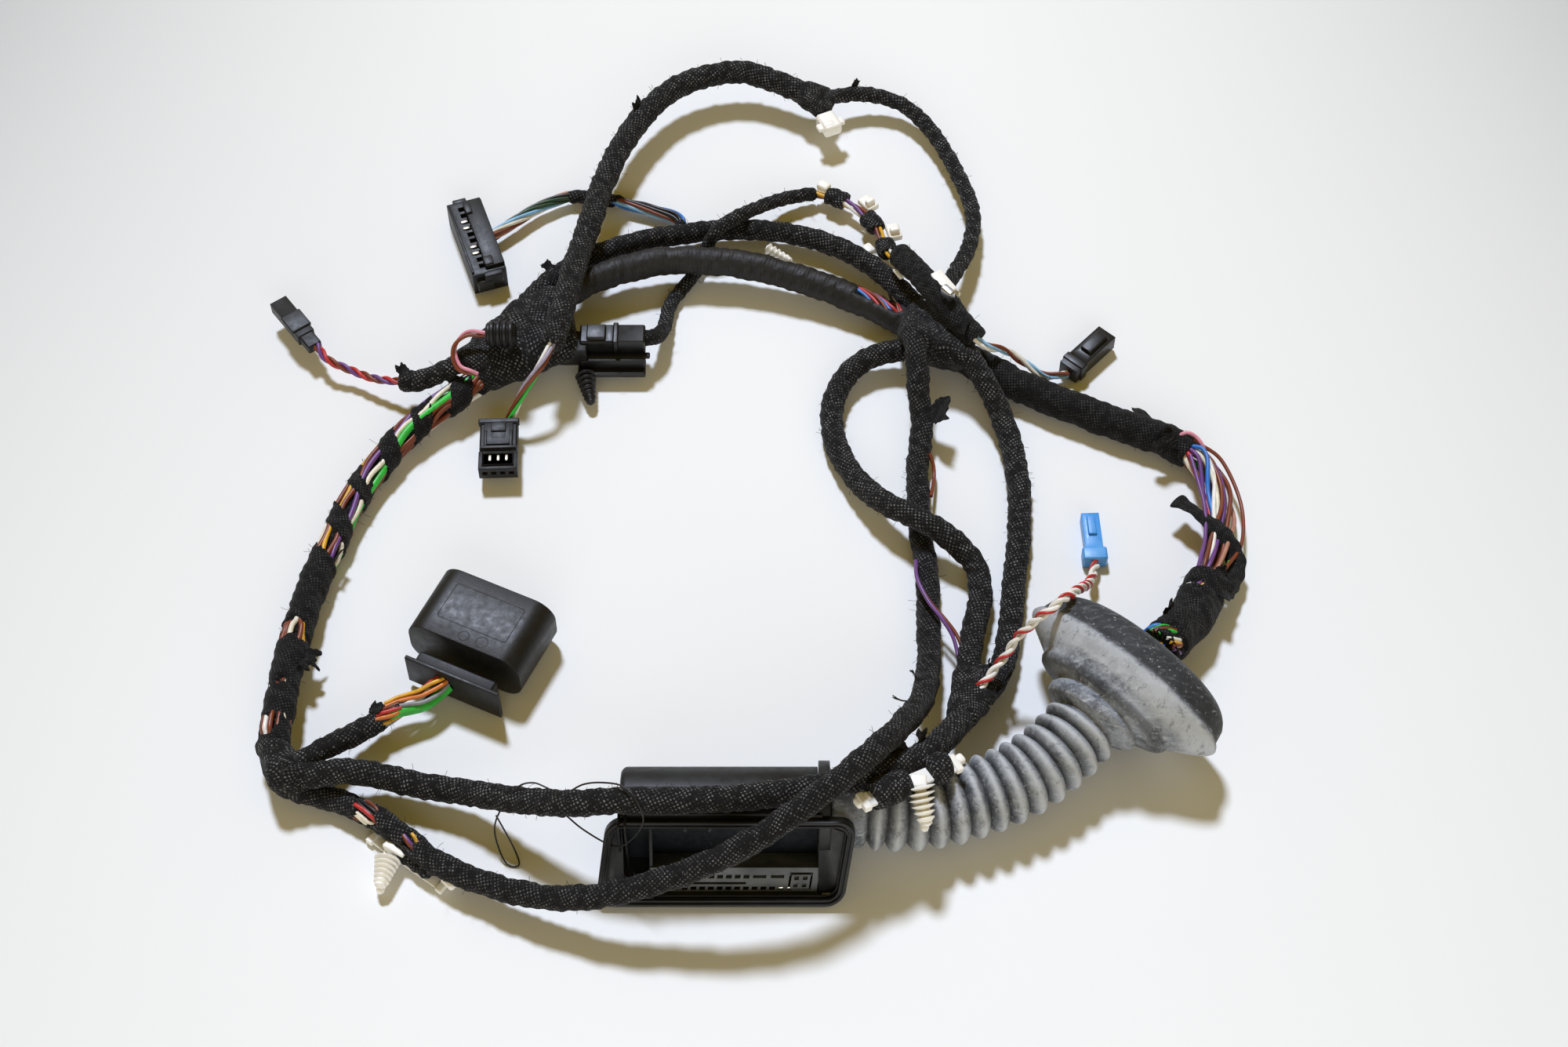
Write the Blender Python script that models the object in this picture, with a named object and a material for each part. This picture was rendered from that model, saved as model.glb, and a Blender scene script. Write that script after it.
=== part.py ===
# Car door wiring harness, laid out on a table: taped wire bundles, wrapped junctions,
# the large door connector with its rubber bellows and grommet, eight small connectors
# and the clips that fix the harness to the door. Metres, +Z up, the table is at Z = 0.

import math

import bmesh
import bpy
from mathutils import Matrix, Vector

# Gap kept between pieces that touch
clearance = 0.0003
tape_gap = 0.0007

# Taped bundles, by their diameter
arc_trunk_diameter = 0.0122
right_trunk_diameter = 0.0138
left_trunk_diameter = 0.0125
connector_branch_diameter = 0.0088
upper_branch_diameter = 0.0100
lower_branch_diameter = 0.0094
fork_branch_diameter = 0.0096
loop_diameter = 0.0104
thin_loop_diameter = 0.0068
rear_branch_diameter = 0.0092
small_branch_diameter = 0.0060
left_stub_diameter = 0.0086
comb_branch_diameter = 0.0060
sleeve_diameter = 0.0180
inner_bundle_diameter = 0.0110
wrap_thickness = 0.0009

# Bare wires and small groups of wires
wire_diameter = 0.0016
pair_diameter = 0.0032
three_wire_diameter = 0.0036
comb_wires_diameter = 0.0052
plug_wires_diameter = 0.0064
loose_group_diameter = 0.0082
row_wires_diameter = 0.0042
row_sleeve_diameter = 0.0105

# Door connector housing
housing_front = (0.0045, -0.2015)
mouth_width = 0.0835
mouth_height = 0.0345
mouth_tilt = math.radians(30)
mouth_skew = 0.0050
lip_depth = 0.0050
lip_width = 0.0030
lip_foot = 0.0001
body_left = -0.0370
body_right = 0.0360
body_depth = 0.0215
housing_wall = 0.0020
housing_floor = 0.0006
rear_axis_back = 0.0310
rear_axis_height = 0.0168
rear_radius = 0.0160
collar_radius = 0.0176
collar_rise = 0.0010
collar_length = 0.0045
spigot_radius = 0.0122
spigot_length = 0.0120
spigot_wall = 0.0020
block_left = -0.0300
block_right = 0.0330
block_height = 0.0150
block_recess = 0.0080
pin_columns = 14
pin_pitch = 0.0032
pin_hole = 0.0019
pin_row_gap = 0.0060
hole_depth = 0.0012
four_way_width = 0.0100
four_way_height = 0.0096
four_way_depth = 0.0016
latch_hook_width = 0.0022

# Rubber bellows and door grommet, one moulding
bellows_ridges = 13
bellows_radius = 0.0150
bellows_valley = 0.0121
bellows_wall = 0.0016
bellows_collar_length = 0.0135
grommet_half_length = 0.0447
grommet_half_height = 0.0238
grommet_bowl_depth = 0.0125
grommet_dish_depth = 0.0085
grommet_neck_gap = 0.0225
grommet_wall = 0.0030
ring_sides = 20

# Oval connector
oval_width = 0.0500
oval_height = 0.0240
oval_depth = 0.0355
oval_wall = 0.0016
oval_floor = 0.0060
oval_neck = (0.0340, 0.0140, 0.0060)
oval_flange = (0.0410, 0.0165, 0.0016)

# Small connectors: width, height and depth of each body
comb_body = (0.0430, 0.0120, 0.0150)
three_way_body = (0.0078, 0.0056, 0.0230)
four_pin_body = (0.0155, 0.0070, 0.0160)
four_pin_slide = (0.0160, 0.0066, 0.0092)
two_way_body = (0.0090, 0.0072, 0.0260)
blue_body = (0.0072, 0.0060, 0.0170)
coupling_body = (0.0100, 0.0090, 0.0275)
round_plug_radius = 0.0056
round_plug_length = 0.0125
carrier_plate = (0.0285, 0.0085, 0.0026)

# Clips and tapes
clip_plate_thickness = 0.0013
clip_plate_width = 0.0060
left_clip_length = 0.0380
right_clip_length = 0.0410
tree_radius = 0.0040
tree_core = 0.0016
tree_length = 0.0150
tree_fins = 5
tape_band_length = 0.0085
tape_band_wall = 0.0016
metal_clip_size = (0.0062, 0.0034, 0.0050)

# Routes of the bundles, point by point along the middle of each one
arc_trunk_route = [
    (-0.077, 0.069, 0.0130), (-0.060, 0.086, 0.0130), (-0.043, 0.095, 0.0130),
    (-0.023, 0.100, 0.0135), (0.001, 0.100, 0.0130), (0.025, 0.095, 0.0120),
    (0.048, 0.087, 0.0100), (0.068, 0.077, 0.0090), (0.085, 0.065, 0.0090),
]
right_trunk_route = [
    (0.100, 0.054, 0.0090), (0.113, 0.045, 0.0082), (0.126, 0.037, 0.0075),
    (0.143, 0.028, 0.0073), (0.165, 0.017, 0.0073), (0.184, 0.009, 0.0073),
    (0.195, 0.001, 0.0075),
]
left_trunk_route = [
    (-0.092, 0.044, 0.0125), (-0.101, 0.034, 0.0120), (-0.110, 0.027, 0.0110),
    (-0.119, 0.020, 0.0095), (-0.129, 0.010, 0.0080), (-0.139, -0.005, 0.0072),
    (-0.148, -0.024, 0.0070), (-0.154, -0.043, 0.0070), (-0.159, -0.063, 0.0075),
    (-0.163, -0.085, 0.0090), (-0.165, -0.108, 0.0105), (-0.166, -0.128, 0.0120),
    (-0.166, -0.148, 0.0130),
]
connector_branch_route = [
    (-0.166, -0.153, 0.0150), (-0.154, -0.149, 0.0150), (-0.146, -0.143, 0.0140),
    (-0.138, -0.137, 0.0125), (-0.128, -0.129, 0.0105), (-0.119, -0.122, 0.0110),
]
upper_branch_route = [
    (-0.166, -0.154, 0.0150), (-0.149, -0.1545, 0.0145), (-0.138, -0.153, 0.0145),
    (-0.123, -0.154, 0.0120), (-0.106, -0.158, 0.0115), (-0.090, -0.162, 0.0140),
    (-0.071, -0.170, 0.0230), (-0.052, -0.177, 0.0330), (-0.034, -0.179, 0.0385),
    (-0.012, -0.179, 0.0388), (0.011, -0.178, 0.0390), (0.031, -0.176, 0.0400),
    (0.046, -0.173, 0.0410), (0.062, -0.168, 0.0400), (0.077, -0.159, 0.0350),
    (0.090, -0.143, 0.0250), (0.100, -0.122, 0.0140),
]
lower_branch_route = [
    (-0.164, -0.156, 0.0080), (-0.150, -0.158, 0.0062), (-0.138, -0.162, 0.0060),
    (-0.127, -0.168, 0.0078), (-0.115, -0.177, 0.0086), (-0.100, -0.189, 0.0090),
    (-0.082, -0.198, 0.0105), (-0.058, -0.206, 0.0150), (-0.037, -0.2085, 0.0220),
    (-0.014, -0.206, 0.0300), (0.005, -0.202, 0.0380), (0.025, -0.194, 0.0470),
    (0.042, -0.183, 0.0525), (0.058, -0.168, 0.0515), (0.071, -0.149, 0.0410),
    (0.080, -0.128, 0.0240), (0.084, -0.105, 0.0110), (0.085, -0.080, 0.0060),
    (0.085, -0.055, 0.0053), (0.083, -0.032, 0.0053), (0.083, -0.007, 0.0060),
    (0.085, 0.013, 0.0090), (0.084, 0.028, 0.0160), (0.083, 0.043, 0.0215),
    (0.081, 0.058, 0.0220),
]
left_fork_route = [
    (0.0995, -0.121, 0.0140), (0.0995, -0.105, 0.0110), (0.1025, -0.086, 0.0080),
    (0.106, -0.069, 0.0070), (0.104, -0.055, 0.0090), (0.093, -0.045, 0.0145),
    (0.082, -0.038, 0.0160), (0.069, -0.028, 0.0130), (0.058, -0.013, 0.0080),
    (0.050, 0.005, 0.0060), (0.048, 0.024, 0.0060), (0.053, 0.040, 0.0070),
    (0.064, 0.050, 0.0090), (0.078, 0.053, 0.0110), (0.090, 0.055, 0.0110),
]
right_fork_route = [
    (0.1035, -0.121, 0.0140), (0.1125, -0.104, 0.0090), (0.117, -0.084, 0.0065),
    (0.120, -0.061, 0.0060), (0.123, -0.038, 0.0060), (0.124, -0.011, 0.0060),
    (0.1200, 0.015, 0.0075), (0.1125, 0.031, 0.0150), (0.1040, 0.045, 0.0195),
]
loop_route = [
    (-0.0685, 0.041, 0.0290), (-0.065, 0.059, 0.0290), (-0.061, 0.089, 0.0244),
    (-0.056, 0.116, 0.0210), (-0.051, 0.143, 0.0180), (-0.042, 0.171, 0.0160),
    (-0.029, 0.193, 0.0160), (-0.013, 0.206, 0.0160), (0.007, 0.211, 0.0160),
    (0.024, 0.206, 0.0150), (0.041, 0.197, 0.0140),
]
thin_loop_route = [
    (0.043, 0.196, 0.0140), (0.064, 0.202, 0.0110), (0.082, 0.197, 0.0090),
    (0.095, 0.181, 0.0080), (0.105, 0.157, 0.0080), (0.111, 0.133, 0.0090),
    (0.109, 0.112, 0.0110), (0.102, 0.093, 0.0150), (0.095, 0.078, 0.0190),
]
rear_branch_route = [
    (-0.085, 0.068, 0.0130), (-0.079, 0.083, 0.0110), (-0.068, 0.097, 0.0095),
    (-0.053, 0.108, 0.0088), (-0.035, 0.116, 0.0082), (-0.017, 0.120, 0.0080),
    (0.004, 0.123, 0.0080),
    (0.028, 0.121, 0.0080), (0.049, 0.114, 0.0080), (0.065, 0.102, 0.0090),
    (0.078, 0.087, 0.0100), (0.087, 0.072, 0.0110),
]
small_branch_route = [
    (-0.0270, 0.0570, 0.0130), (-0.0235, 0.067, 0.0075), (-0.021, 0.084, 0.0036),
    (-0.013, 0.098, 0.0036), (-0.008, 0.108, 0.0042), (-0.003, 0.114, 0.0140),
    (0.005, 0.121, 0.0165), (0.016, 0.131, 0.0130), (0.028, 0.141, 0.0080),
    (0.042, 0.146, 0.0060),
]
left_stub_route = [
    (-0.132, 0.035, 0.0120), (-0.122, 0.034, 0.0150), (-0.111, 0.038, 0.0180),
    (-0.100, 0.044, 0.0190),
]
comb_branch_route = [
    (-0.068, 0.145, 0.0050), (-0.059, 0.145, 0.0045), (-0.045, 0.142, 0.0045),
    (-0.029, 0.1365, 0.0045), (-0.0195, 0.1325, 0.0050),
    (-0.0155, 0.1264, 0.0062),
]
three_wires_route = [
    (-0.169, 0.054, 0.0110), (-0.164, 0.048, 0.0100), (-0.154, 0.044, 0.0080),
    (-0.144, 0.039, 0.0090), (-0.132, 0.035, 0.0120),
]
comb_wires_route = [
    (-0.100, 0.121, 0.0060), (-0.092, 0.128, 0.0060), (-0.082, 0.137, 0.0055),
    (-0.074, 0.142, 0.0052), (-0.068, 0.145, 0.0050),
]
four_wires_route = [
    (-0.0685, 0.041, 0.0290), (-0.072, 0.033, 0.0270), (-0.080, 0.024, 0.0190),
    (-0.0865, 0.0175, 0.0080),
]
oval_wires_route = [
    (-0.119, -0.122, 0.0110), (-0.1150, -0.1205, 0.0112), (-0.1110, -0.1190, 0.0118),
    (-0.1052, -0.1139, 0.0124),
]
right_pair_route = [
    (0.1092, 0.0478, 0.0232), (0.1140, 0.0460, 0.0215), (0.1210, 0.0485, 0.0160),
    (0.1280, 0.0480, 0.0100), (0.1380, 0.0435, 0.0055), (0.1471, 0.0449, 0.0048),
]
blue_pair_route = [
    (0.106, -0.116, 0.0215), (0.1115, -0.110, 0.0245), (0.118, -0.104, 0.0330),
    (0.126, -0.1015, 0.0430), (0.134, -0.0960, 0.0455), (0.142, -0.0835, 0.0340),
    (0.149, -0.066, 0.0120), (0.1533, -0.0520, 0.0040),
]
plug_wire_route = [
    (-0.0968, 0.0457, 0.0305), (-0.104, 0.046, 0.0300), (-0.109, 0.041, 0.0270),
    (-0.107, 0.034, 0.0230), (-0.100, 0.032, 0.0215),
]
row_wires_route = [
    (0.0440, 0.1455, 0.0062), (0.0506, 0.1426, 0.0070), (0.0600, 0.1355, 0.0072),
    (0.0673, 0.1260, 0.0080), (0.0712, 0.1165, 0.0088), (0.0735, 0.1070, 0.0110),
    (0.0760, 0.1005, 0.0160),
]
row_sleeve_route = [
    (0.0775, 0.0980, 0.0200), (0.0835, 0.0860, 0.0245), (0.0925, 0.0710, 0.0262),
    (0.1005, 0.0590, 0.0255), (0.1085, 0.0485, 0.0235),
]
patch_route = [(-0.0850, 0.0500, 0.0130), (-0.0720, 0.0530, 0.0135), (-0.0590, 0.0560, 0.0140)]
sleeve_route = [
    (0.196, -0.063, 0.0100), (0.192, -0.074, 0.0105), (0.184, -0.088, 0.0140),
    (0.172, -0.102, 0.0200),
]
loose_group_route = [
    (0.1952, 0.0008, 0.0075), (0.2000, -0.0035, 0.0068), (0.2030, -0.0110, 0.0058),
    (0.2045, -0.0200, 0.0050), (0.2045, -0.0330, 0.0052), (0.2015, -0.0490, 0.0070),
    (0.1962, -0.0624, 0.0099),
]
loose_brown_route = [
    (0.1985, 0.0035, 0.0115), (0.208, -0.004, 0.0090), (0.2140, -0.024, 0.0070),
    (0.212, -0.045, 0.0090), (0.2035, -0.0600, 0.0135),
]
loose_violet_route = [
    (0.1950, -0.0060, 0.0125), (0.1965, -0.015, 0.0120), (0.1980, -0.030, 0.0125),
    (0.1965, -0.046, 0.0140), (0.1922, -0.0609, 0.0171),
]
bellows_route = [
    (0.0454, -0.1705, 0.0168), (0.0530, -0.1705, 0.0168), (0.0610, -0.1706, 0.0167),
    (0.075, -0.1706, 0.0158), (0.090, -0.1680, 0.0155), (0.106, -0.1625, 0.0157),
    (0.119, -0.1560, 0.0165),
    (0.1305, -0.1475, 0.0180), (0.1395, -0.1385, 0.0195), (0.1460, -0.1308, 0.0215),
    (0.157, -0.1190, 0.0242), (0.1675, -0.1078, 0.0250),
]
inner_bundle_route = [
    (0.172, -0.102, 0.0200), (0.165, -0.110, 0.0225), (0.157, -0.1185, 0.0235),
    (0.1460, -0.1308, 0.0215), (0.1395, -0.1385, 0.0195), (0.1305, -0.1475, 0.0180),
    (0.119, -0.1560, 0.0165), (0.106, -0.1625, 0.0157), (0.090, -0.1680, 0.0155),
    (0.075, -0.1706, 0.0155), (0.060, -0.1712, 0.0163), (0.0454, -0.1705, 0.0168),
    (0.033, -0.1700, 0.0165), (0.020, -0.1695, 0.0150), (0.009, -0.1715, 0.0125),
]


def clear_scene():
    for item in list(bpy.data.objects):
        bpy.data.objects.remove(item, do_unlink=True)


def make_material(name, colour, roughness, metallic=0.0):
    made = bpy.data.materials.new(name)
    made.use_nodes = True
    shader = made.node_tree.nodes["Principled BSDF"]
    shader.inputs["Base Color"].default_value = (*colour, 1.0)
    shader.inputs["Roughness"].default_value = roughness
    shader.inputs["Metallic"].default_value = metallic
    return made


def add_frame(name, location, turn=(0.0, 0.0, 0.0)):
    """An empty that carries the pieces of one assembly."""
    empty = bpy.data.objects.new(name, None)
    empty.location = location
    empty.rotation_euler = turn
    bpy.context.scene.collection.objects.link(empty)
    return empty


def add_piece(name, bm, finish, carrier=None, location=(0, 0, 0), turn=(0, 0, 0)):
    bmesh.ops.recalc_face_normals(bm, faces=bm.faces)
    mesh = bpy.data.meshes.new(name)
    bm.to_mesh(mesh)
    bm.free()
    piece = bpy.data.objects.new(name, mesh)
    piece.data.materials.append(finish)
    piece.location = location
    piece.rotation_euler = turn
    piece.parent = carrier
    bpy.context.scene.collection.objects.link(piece)
    mesh.shade_smooth()
    mesh.set_sharp_from_angle(angle=math.radians(35))
    return piece


def combine(piece, other, operation):
    """Joins a hidden shape to a piece, or cuts it out of the piece."""
    other.hide_render = True
    other.display_type = "WIRE"
    step = piece.modifiers.new(operation.lower(), "BOOLEAN")
    step.operation = operation
    step.solver = "EXACT"
    step.object = other


def smooth_points(route, step):
    """Points about one step apart on a smooth curve through a route's own points."""
    knots = [Vector(point) for point in route]
    knots = [2 * knots[0] - knots[1]] + knots + [2 * knots[-1] - knots[-2]]
    fine = []
    for before, start, end, after in zip(knots, knots[1:], knots[2:], knots[3:]):
        for part in range(12):
            t = part / 12
            fine.append(
                0.5 * (2 * start + (end - before) * t
                       + (2 * before - 5 * start + 4 * end - after) * t * t
                       + (3 * start - before - 3 * end + after) * t * t * t)
            )
    fine.append(knots[-2])
    lengths = [0.0]
    for one, two in zip(fine, fine[1:]):
        lengths.append(lengths[-1] + (two - one).length)
    count = max(2, round(lengths[-1] / step))
    points = []
    index = 0
    for number in range(count + 1):
        wanted = lengths[-1] * number / count
        while index < len(fine) - 2 and lengths[index + 1] < wanted:
            index += 1
        span = max(lengths[index + 1] - lengths[index], 1e-9)
        points.append(fine[index].lerp(fine[index + 1], (wanted - lengths[index]) / span))
    return points


def trimmed(points, start, end):
    """The same line of points, shortened by a length at each end."""
    for length in (start, end):
        left = length
        while len(points) > 2 and (points[1] - points[0]).length <= left:
            left -= (points[1] - points[0]).length
            points = points[1:]
        points = [points[0] + (points[1] - points[0]).normalized() * left] + points[1:]
        points = points[::-1]
    return points


def route_length(route):
    points = smooth_points(route, 0.002)
    return sum((two - one).length for one, two in zip(points, points[1:]))


def frame_at(route, distance, from_end=False):
    """Place on a route, with local Z along the route and local Y as high as it goes."""
    points = smooth_points(route, 0.0005)
    if from_end:
        points = points[::-1]
    travelled = 0.0
    for one, two in zip(points, points[1:]):
        travelled += (two - one).length
        if travelled >= distance:
            break
    along = (two - one).normalized()
    side = Vector((0, 0, 1)).cross(along).normalized()
    up = along.cross(side)
    basis = Matrix((side, up, along)).transposed().to_4x4()
    return Matrix.Translation(two) @ basis


def add_tube(name, route, diameter, finish, start=0.0, end=0.0, sides=3, spacing=1.6):
    """A bundle or a wire: a round tube along the middle of its route."""
    line = bpy.data.curves.new(name, "CURVE")
    line.dimensions = "3D"
    line.bevel_depth = diameter / 2
    line.bevel_resolution = sides
    line.use_fill_caps = True
    fine = trimmed(smooth_points(route, 0.001), start, end)
    count = max(1, round(len(fine) * 0.001 / (diameter * spacing)))
    picks = [round(2 + (len(fine) - 5) * number / count) for number in range(count + 1)]
    points = [fine[number] for number in [0] + picks + [len(fine) - 1]]
    spline = line.splines.new("POLY")
    spline.points.add(len(points) - 1)
    for knot, point in zip(spline.points, points):
        knot.co = (*point, 1.0)
    line.materials.append(finish)
    tube = bpy.data.objects.new(name, line)
    bpy.context.scene.collection.objects.link(tube)
    return tube


def add_wrap(name, arms, finish):
    """Tape wound over a junction: the tight skin over the ends of the bundles in it."""
    bm = bmesh.new()
    for route, distance, from_end, diameter in arms:
        bmesh.ops.create_circle(
            bm, cap_ends=False, segments=10, radius=diameter / 2 + wrap_thickness,
            matrix=frame_at(route, distance, from_end),
        )
    skin = bmesh.ops.convex_hull(bm, input=bm.verts)
    spare = [item for item in skin["geom_interior"] if isinstance(item, bmesh.types.BMVert)]
    bmesh.ops.delete(bm, geom=spare, context="VERTS")
    loose = [edge for edge in bm.edges if not edge.link_faces]
    bmesh.ops.delete(bm, geom=loose, context="EDGES")
    return add_piece(name, bm, finish)


def cut_socket(piece, tube):
    """Leaves room in a piece for a tube that passes into it or through it."""
    wider = tube.data.copy()
    wider.bevel_depth += clearance
    points = wider.splines[0].points
    for tip, neighbour in ((points[0], points[1]), (points[-1], points[-2])):
        outward = (tip.co.xyz - neighbour.co.xyz).normalized() * clearance
        tip.co = (*(tip.co.xyz + outward), 1.0)
    guide = bpy.data.objects.new(tube.name + "_guide", wider)
    guide.hide_render = True
    bpy.context.scene.collection.objects.link(guide)
    bpy.context.view_layer.update()
    graph = bpy.context.evaluated_depsgraph_get()
    mesh = bpy.data.meshes.new_from_object(guide.evaluated_get(graph))
    bpy.data.objects.remove(guide, do_unlink=True)
    cutter = bpy.data.objects.new(f"{piece.name}_{tube.name}_socket", mesh)
    bpy.context.scene.collection.objects.link(cutter)
    combine(piece, cutter, "DIFFERENCE")


def block(size, centre=(0.0, 0.0, 0.0), round_edges=0.0, segments=1):
    bm = bmesh.new()
    bmesh.ops.create_cube(bm, size=1.0)
    bmesh.ops.scale(bm, vec=size, verts=bm.verts)
    bmesh.ops.translate(bm, vec=centre, verts=bm.verts)
    if round_edges:
        bmesh.ops.bevel(
            bm, geom=bm.edges[:], offset=round_edges, segments=segments, profile=0.5,
            affect="EDGES", material=-1,
        )
    return bm


def prism(outline, low, high, axis="X"):
    """A straight bar whose section is the outline, from low to high along its axis."""
    bm = bmesh.new()
    turned = {"X": lambda a, b: (low, a, b), "Y": lambda a, b: (a, low, b),
              "Z": lambda a, b: (a, b, low)}[axis]
    section = bm.faces.new([bm.verts.new(turned(a, b)) for a, b in outline])
    grown = bmesh.ops.extrude_face_region(bm, geom=[section])
    tops = [item for item in grown["geom"] if isinstance(item, bmesh.types.BMVert)]
    shift = {"X": (high - low, 0, 0), "Y": (0, high - low, 0), "Z": (0, 0, high - low)}[axis]
    bmesh.ops.translate(bm, vec=shift, verts=tops)
    return bm


def rounded_outline(width, height, radius, steps):
    """Corner-rounded rectangle about the origin."""
    points = []
    for quarter, (sx, sy) in enumerate(((1, 1), (-1, 1), (-1, -1), (1, -1))):
        for step in range(steps + 1):
            angle = math.pi / 2 * (quarter + step / steps)
            points.append((sx * (width / 2 - radius) + radius * math.cos(angle),
                           sy * (height / 2 - radius) + radius * math.sin(angle)))
    return points


def pocketed_block(width, height, depth, pockets, pocket_depth):
    """A block whose front face at Y = 0 has square pockets: centre X, centre Z, width, height."""
    bm = bmesh.new()
    columns = {-width / 2, width / 2}
    rows = {-height / 2, height / 2}
    for x, z, wide, high in pockets:
        columns |= {x - wide / 2, x + wide / 2}
        rows |= {z - high / 2, z + high / 2}
    columns = sorted(columns)
    rows = sorted(rows)
    grid = [[bm.verts.new((x, 0.0, z)) for x in columns] for z in rows]
    cells = []
    for lower, upper in zip(grid, grid[1:]):
        for number in range(len(columns) - 1):
            corners = (lower[number], lower[number + 1], upper[number + 1], upper[number])
            cells.append(bm.faces.new(corners))
    rim = [edge for edge in bm.edges if edge.is_boundary]
    sides = bmesh.ops.extrude_edge_only(bm, edges=rim)["geom"]
    back = [item for item in sides if isinstance(item, bmesh.types.BMVert)]
    bmesh.ops.translate(bm, vec=(0, depth, 0), verts=back)
    open_rim = [edge for edge in bm.edges if edge.is_boundary]
    bmesh.ops.contextual_create(bm, geom=open_rim)
    for x, z, wide, high in pockets:
        inside = [
            cell for cell in cells
            if cell.is_valid
            and abs(cell.calc_center_median().x - x) < wide / 2
            and abs(cell.calc_center_median().z - z) < high / 2
        ]
        sunk = bmesh.ops.extrude_face_region(bm, geom=inside)["geom"]
        bottom = [item for item in sunk if isinstance(item, bmesh.types.BMVert)]
        bmesh.ops.translate(bm, vec=(0, pocket_depth, 0), verts=bottom)
        bmesh.ops.delete(bm, geom=inside, context="FACES_ONLY")
    return bm


def pocket_row(count, pitch, z, wide, high, first=None):
    start = -pitch * (count - 1) / 2 if first is None else first
    return [(start + pitch * number, z, wide, high) for number in range(count)]


def ring_solid(stations, sides, closed=True):
    """A skin over rings: each has a place and its two half widths."""
    bm = bmesh.new()
    loops = []
    for place, half_width, half_height in stations:
        shape = place @ Matrix.Diagonal((half_width, half_height, 1.0, 1.0))
        ring = bmesh.ops.create_circle(
            bm, cap_ends=False, segments=sides, radius=1.0, matrix=shape
        )["verts"]
        loops.append([edge for edge in bm.edges if edge.verts[0] in ring and edge.verts[1] in ring])
    pairs = list(zip(loops, loops[1:]))
    if closed:
        pairs.append((loops[-1], loops[0]))
    for one, two in pairs:
        bmesh.ops.bridge_loops(bm, edges=one + two)
    if not closed:
        for loop in (loops[0], loops[-1]):
            bmesh.ops.contextual_create(bm, geom=loop)
    return bm


def turned(profile, sides, origin=(0, 0, 0)):
    """A solid turned about X: pairs of place along X and radius."""
    stations = []
    across = Matrix.Rotation(math.pi / 2, 4, "Y")
    for along, radius in profile:
        place = Matrix.Translation(Vector(origin) + Vector((along, 0, 0))) @ across
        stations.append((place, radius, radius))
    return ring_solid(stations, sides, closed=False)


def tree_profile(length, fins, radius, core):
    """Barbed stem of a push-in clip, from its root to its pointed tip."""
    pitch = (length - 0.003) / fins
    profile = [(0.0, core)]
    for number in range(fins):
        root = 0.001 + pitch * number
        reach = radius * (1.0 - 0.10 * number)
        profile += [(root, reach), (root + pitch * 0.75, core)]
    profile += [(length - 0.0012, core), (length, core * 0.5)]
    return profile


clear_scene()
cloth_tape = make_material("cloth tape", (0.012, 0.012, 0.013), 0.95)
smooth_tape = make_material("smooth tape", (0.022, 0.019, 0.018), 0.75)
black_plastic = make_material("black plastic", (0.016, 0.016, 0.017), 0.42)
slate_plastic = make_material("slate plastic", (0.024, 0.025, 0.028), 0.40)
blue_plastic = make_material("blue plastic", (0.07, 0.36, 0.82), 0.45)
white_nylon = make_material("white nylon", (0.82, 0.79, 0.66), 0.50)
grey_rubber = make_material("grey rubber", (0.22, 0.23, 0.25), 0.80)
spring_steel = make_material("spring steel", (0.62, 0.62, 0.64), 0.28, 1.0)
brown_wire = make_material("brown wire", (0.25, 0.07, 0.03), 0.40)
white_wire = make_material("white wire", (0.80, 0.76, 0.66), 0.40)
green_wire = make_material("green wire", (0.06, 0.62, 0.09), 0.35)
violet_wire = make_material("violet wire", (0.20, 0.10, 0.32), 0.40)
mixed_wires = make_material("mixed wires", (0.32, 0.14, 0.10), 0.45)

# Taped junctions, and the bundles that meet in them
corner_reach = 0.022
fork_reach = 0.014
add_wrap("corner_wrap", [
    (left_trunk_route, 0.012, True, left_trunk_diameter),
    (connector_branch_route, 0.014, False, connector_branch_diameter),
    (upper_branch_route, corner_reach, False, upper_branch_diameter),
    (lower_branch_route, corner_reach, False, lower_branch_diameter),
    (upper_branch_route, 0.001, False, left_trunk_diameter),
], cloth_tape)
add_tube("left_trunk", left_trunk_route, left_trunk_diameter, cloth_tape,
         start=0.010 + tape_gap, end=0.012 + tape_gap)
add_tube("connector_branch", connector_branch_route, connector_branch_diameter, cloth_tape,
         start=0.014 + tape_gap)
add_tube("upper_branch", upper_branch_route, upper_branch_diameter, cloth_tape,
         start=corner_reach + tape_gap, end=fork_reach + tape_gap)
add_tube("lower_branch", lower_branch_route, lower_branch_diameter, cloth_tape,
         start=corner_reach + tape_gap, end=0.010 + tape_gap)

add_wrap("centre_wrap", [
    (left_trunk_route, 0.010, False, left_trunk_diameter),
    (arc_trunk_route, 0.014, False, arc_trunk_diameter),
    (left_stub_route, 0.008, True, left_stub_diameter),
    (rear_branch_route, 0.008, False, rear_branch_diameter),
    (patch_route, 0.001, True, 0.0140),
], cloth_tape)
add_tube("arc_trunk", arc_trunk_route, arc_trunk_diameter, smooth_tape,
         start=0.014 + tape_gap, end=0.010 + tape_gap)
add_tube("rear_branch", rear_branch_route, rear_branch_diameter, cloth_tape,
         start=0.008 + tape_gap, end=0.008 + tape_gap)
add_tube("left_stub", left_stub_route, left_stub_diameter, cloth_tape, end=0.008 + tape_gap)
add_tube("loop_branch", loop_route, loop_diameter, cloth_tape, start=tape_gap, end=0.006 + tape_gap)

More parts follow.
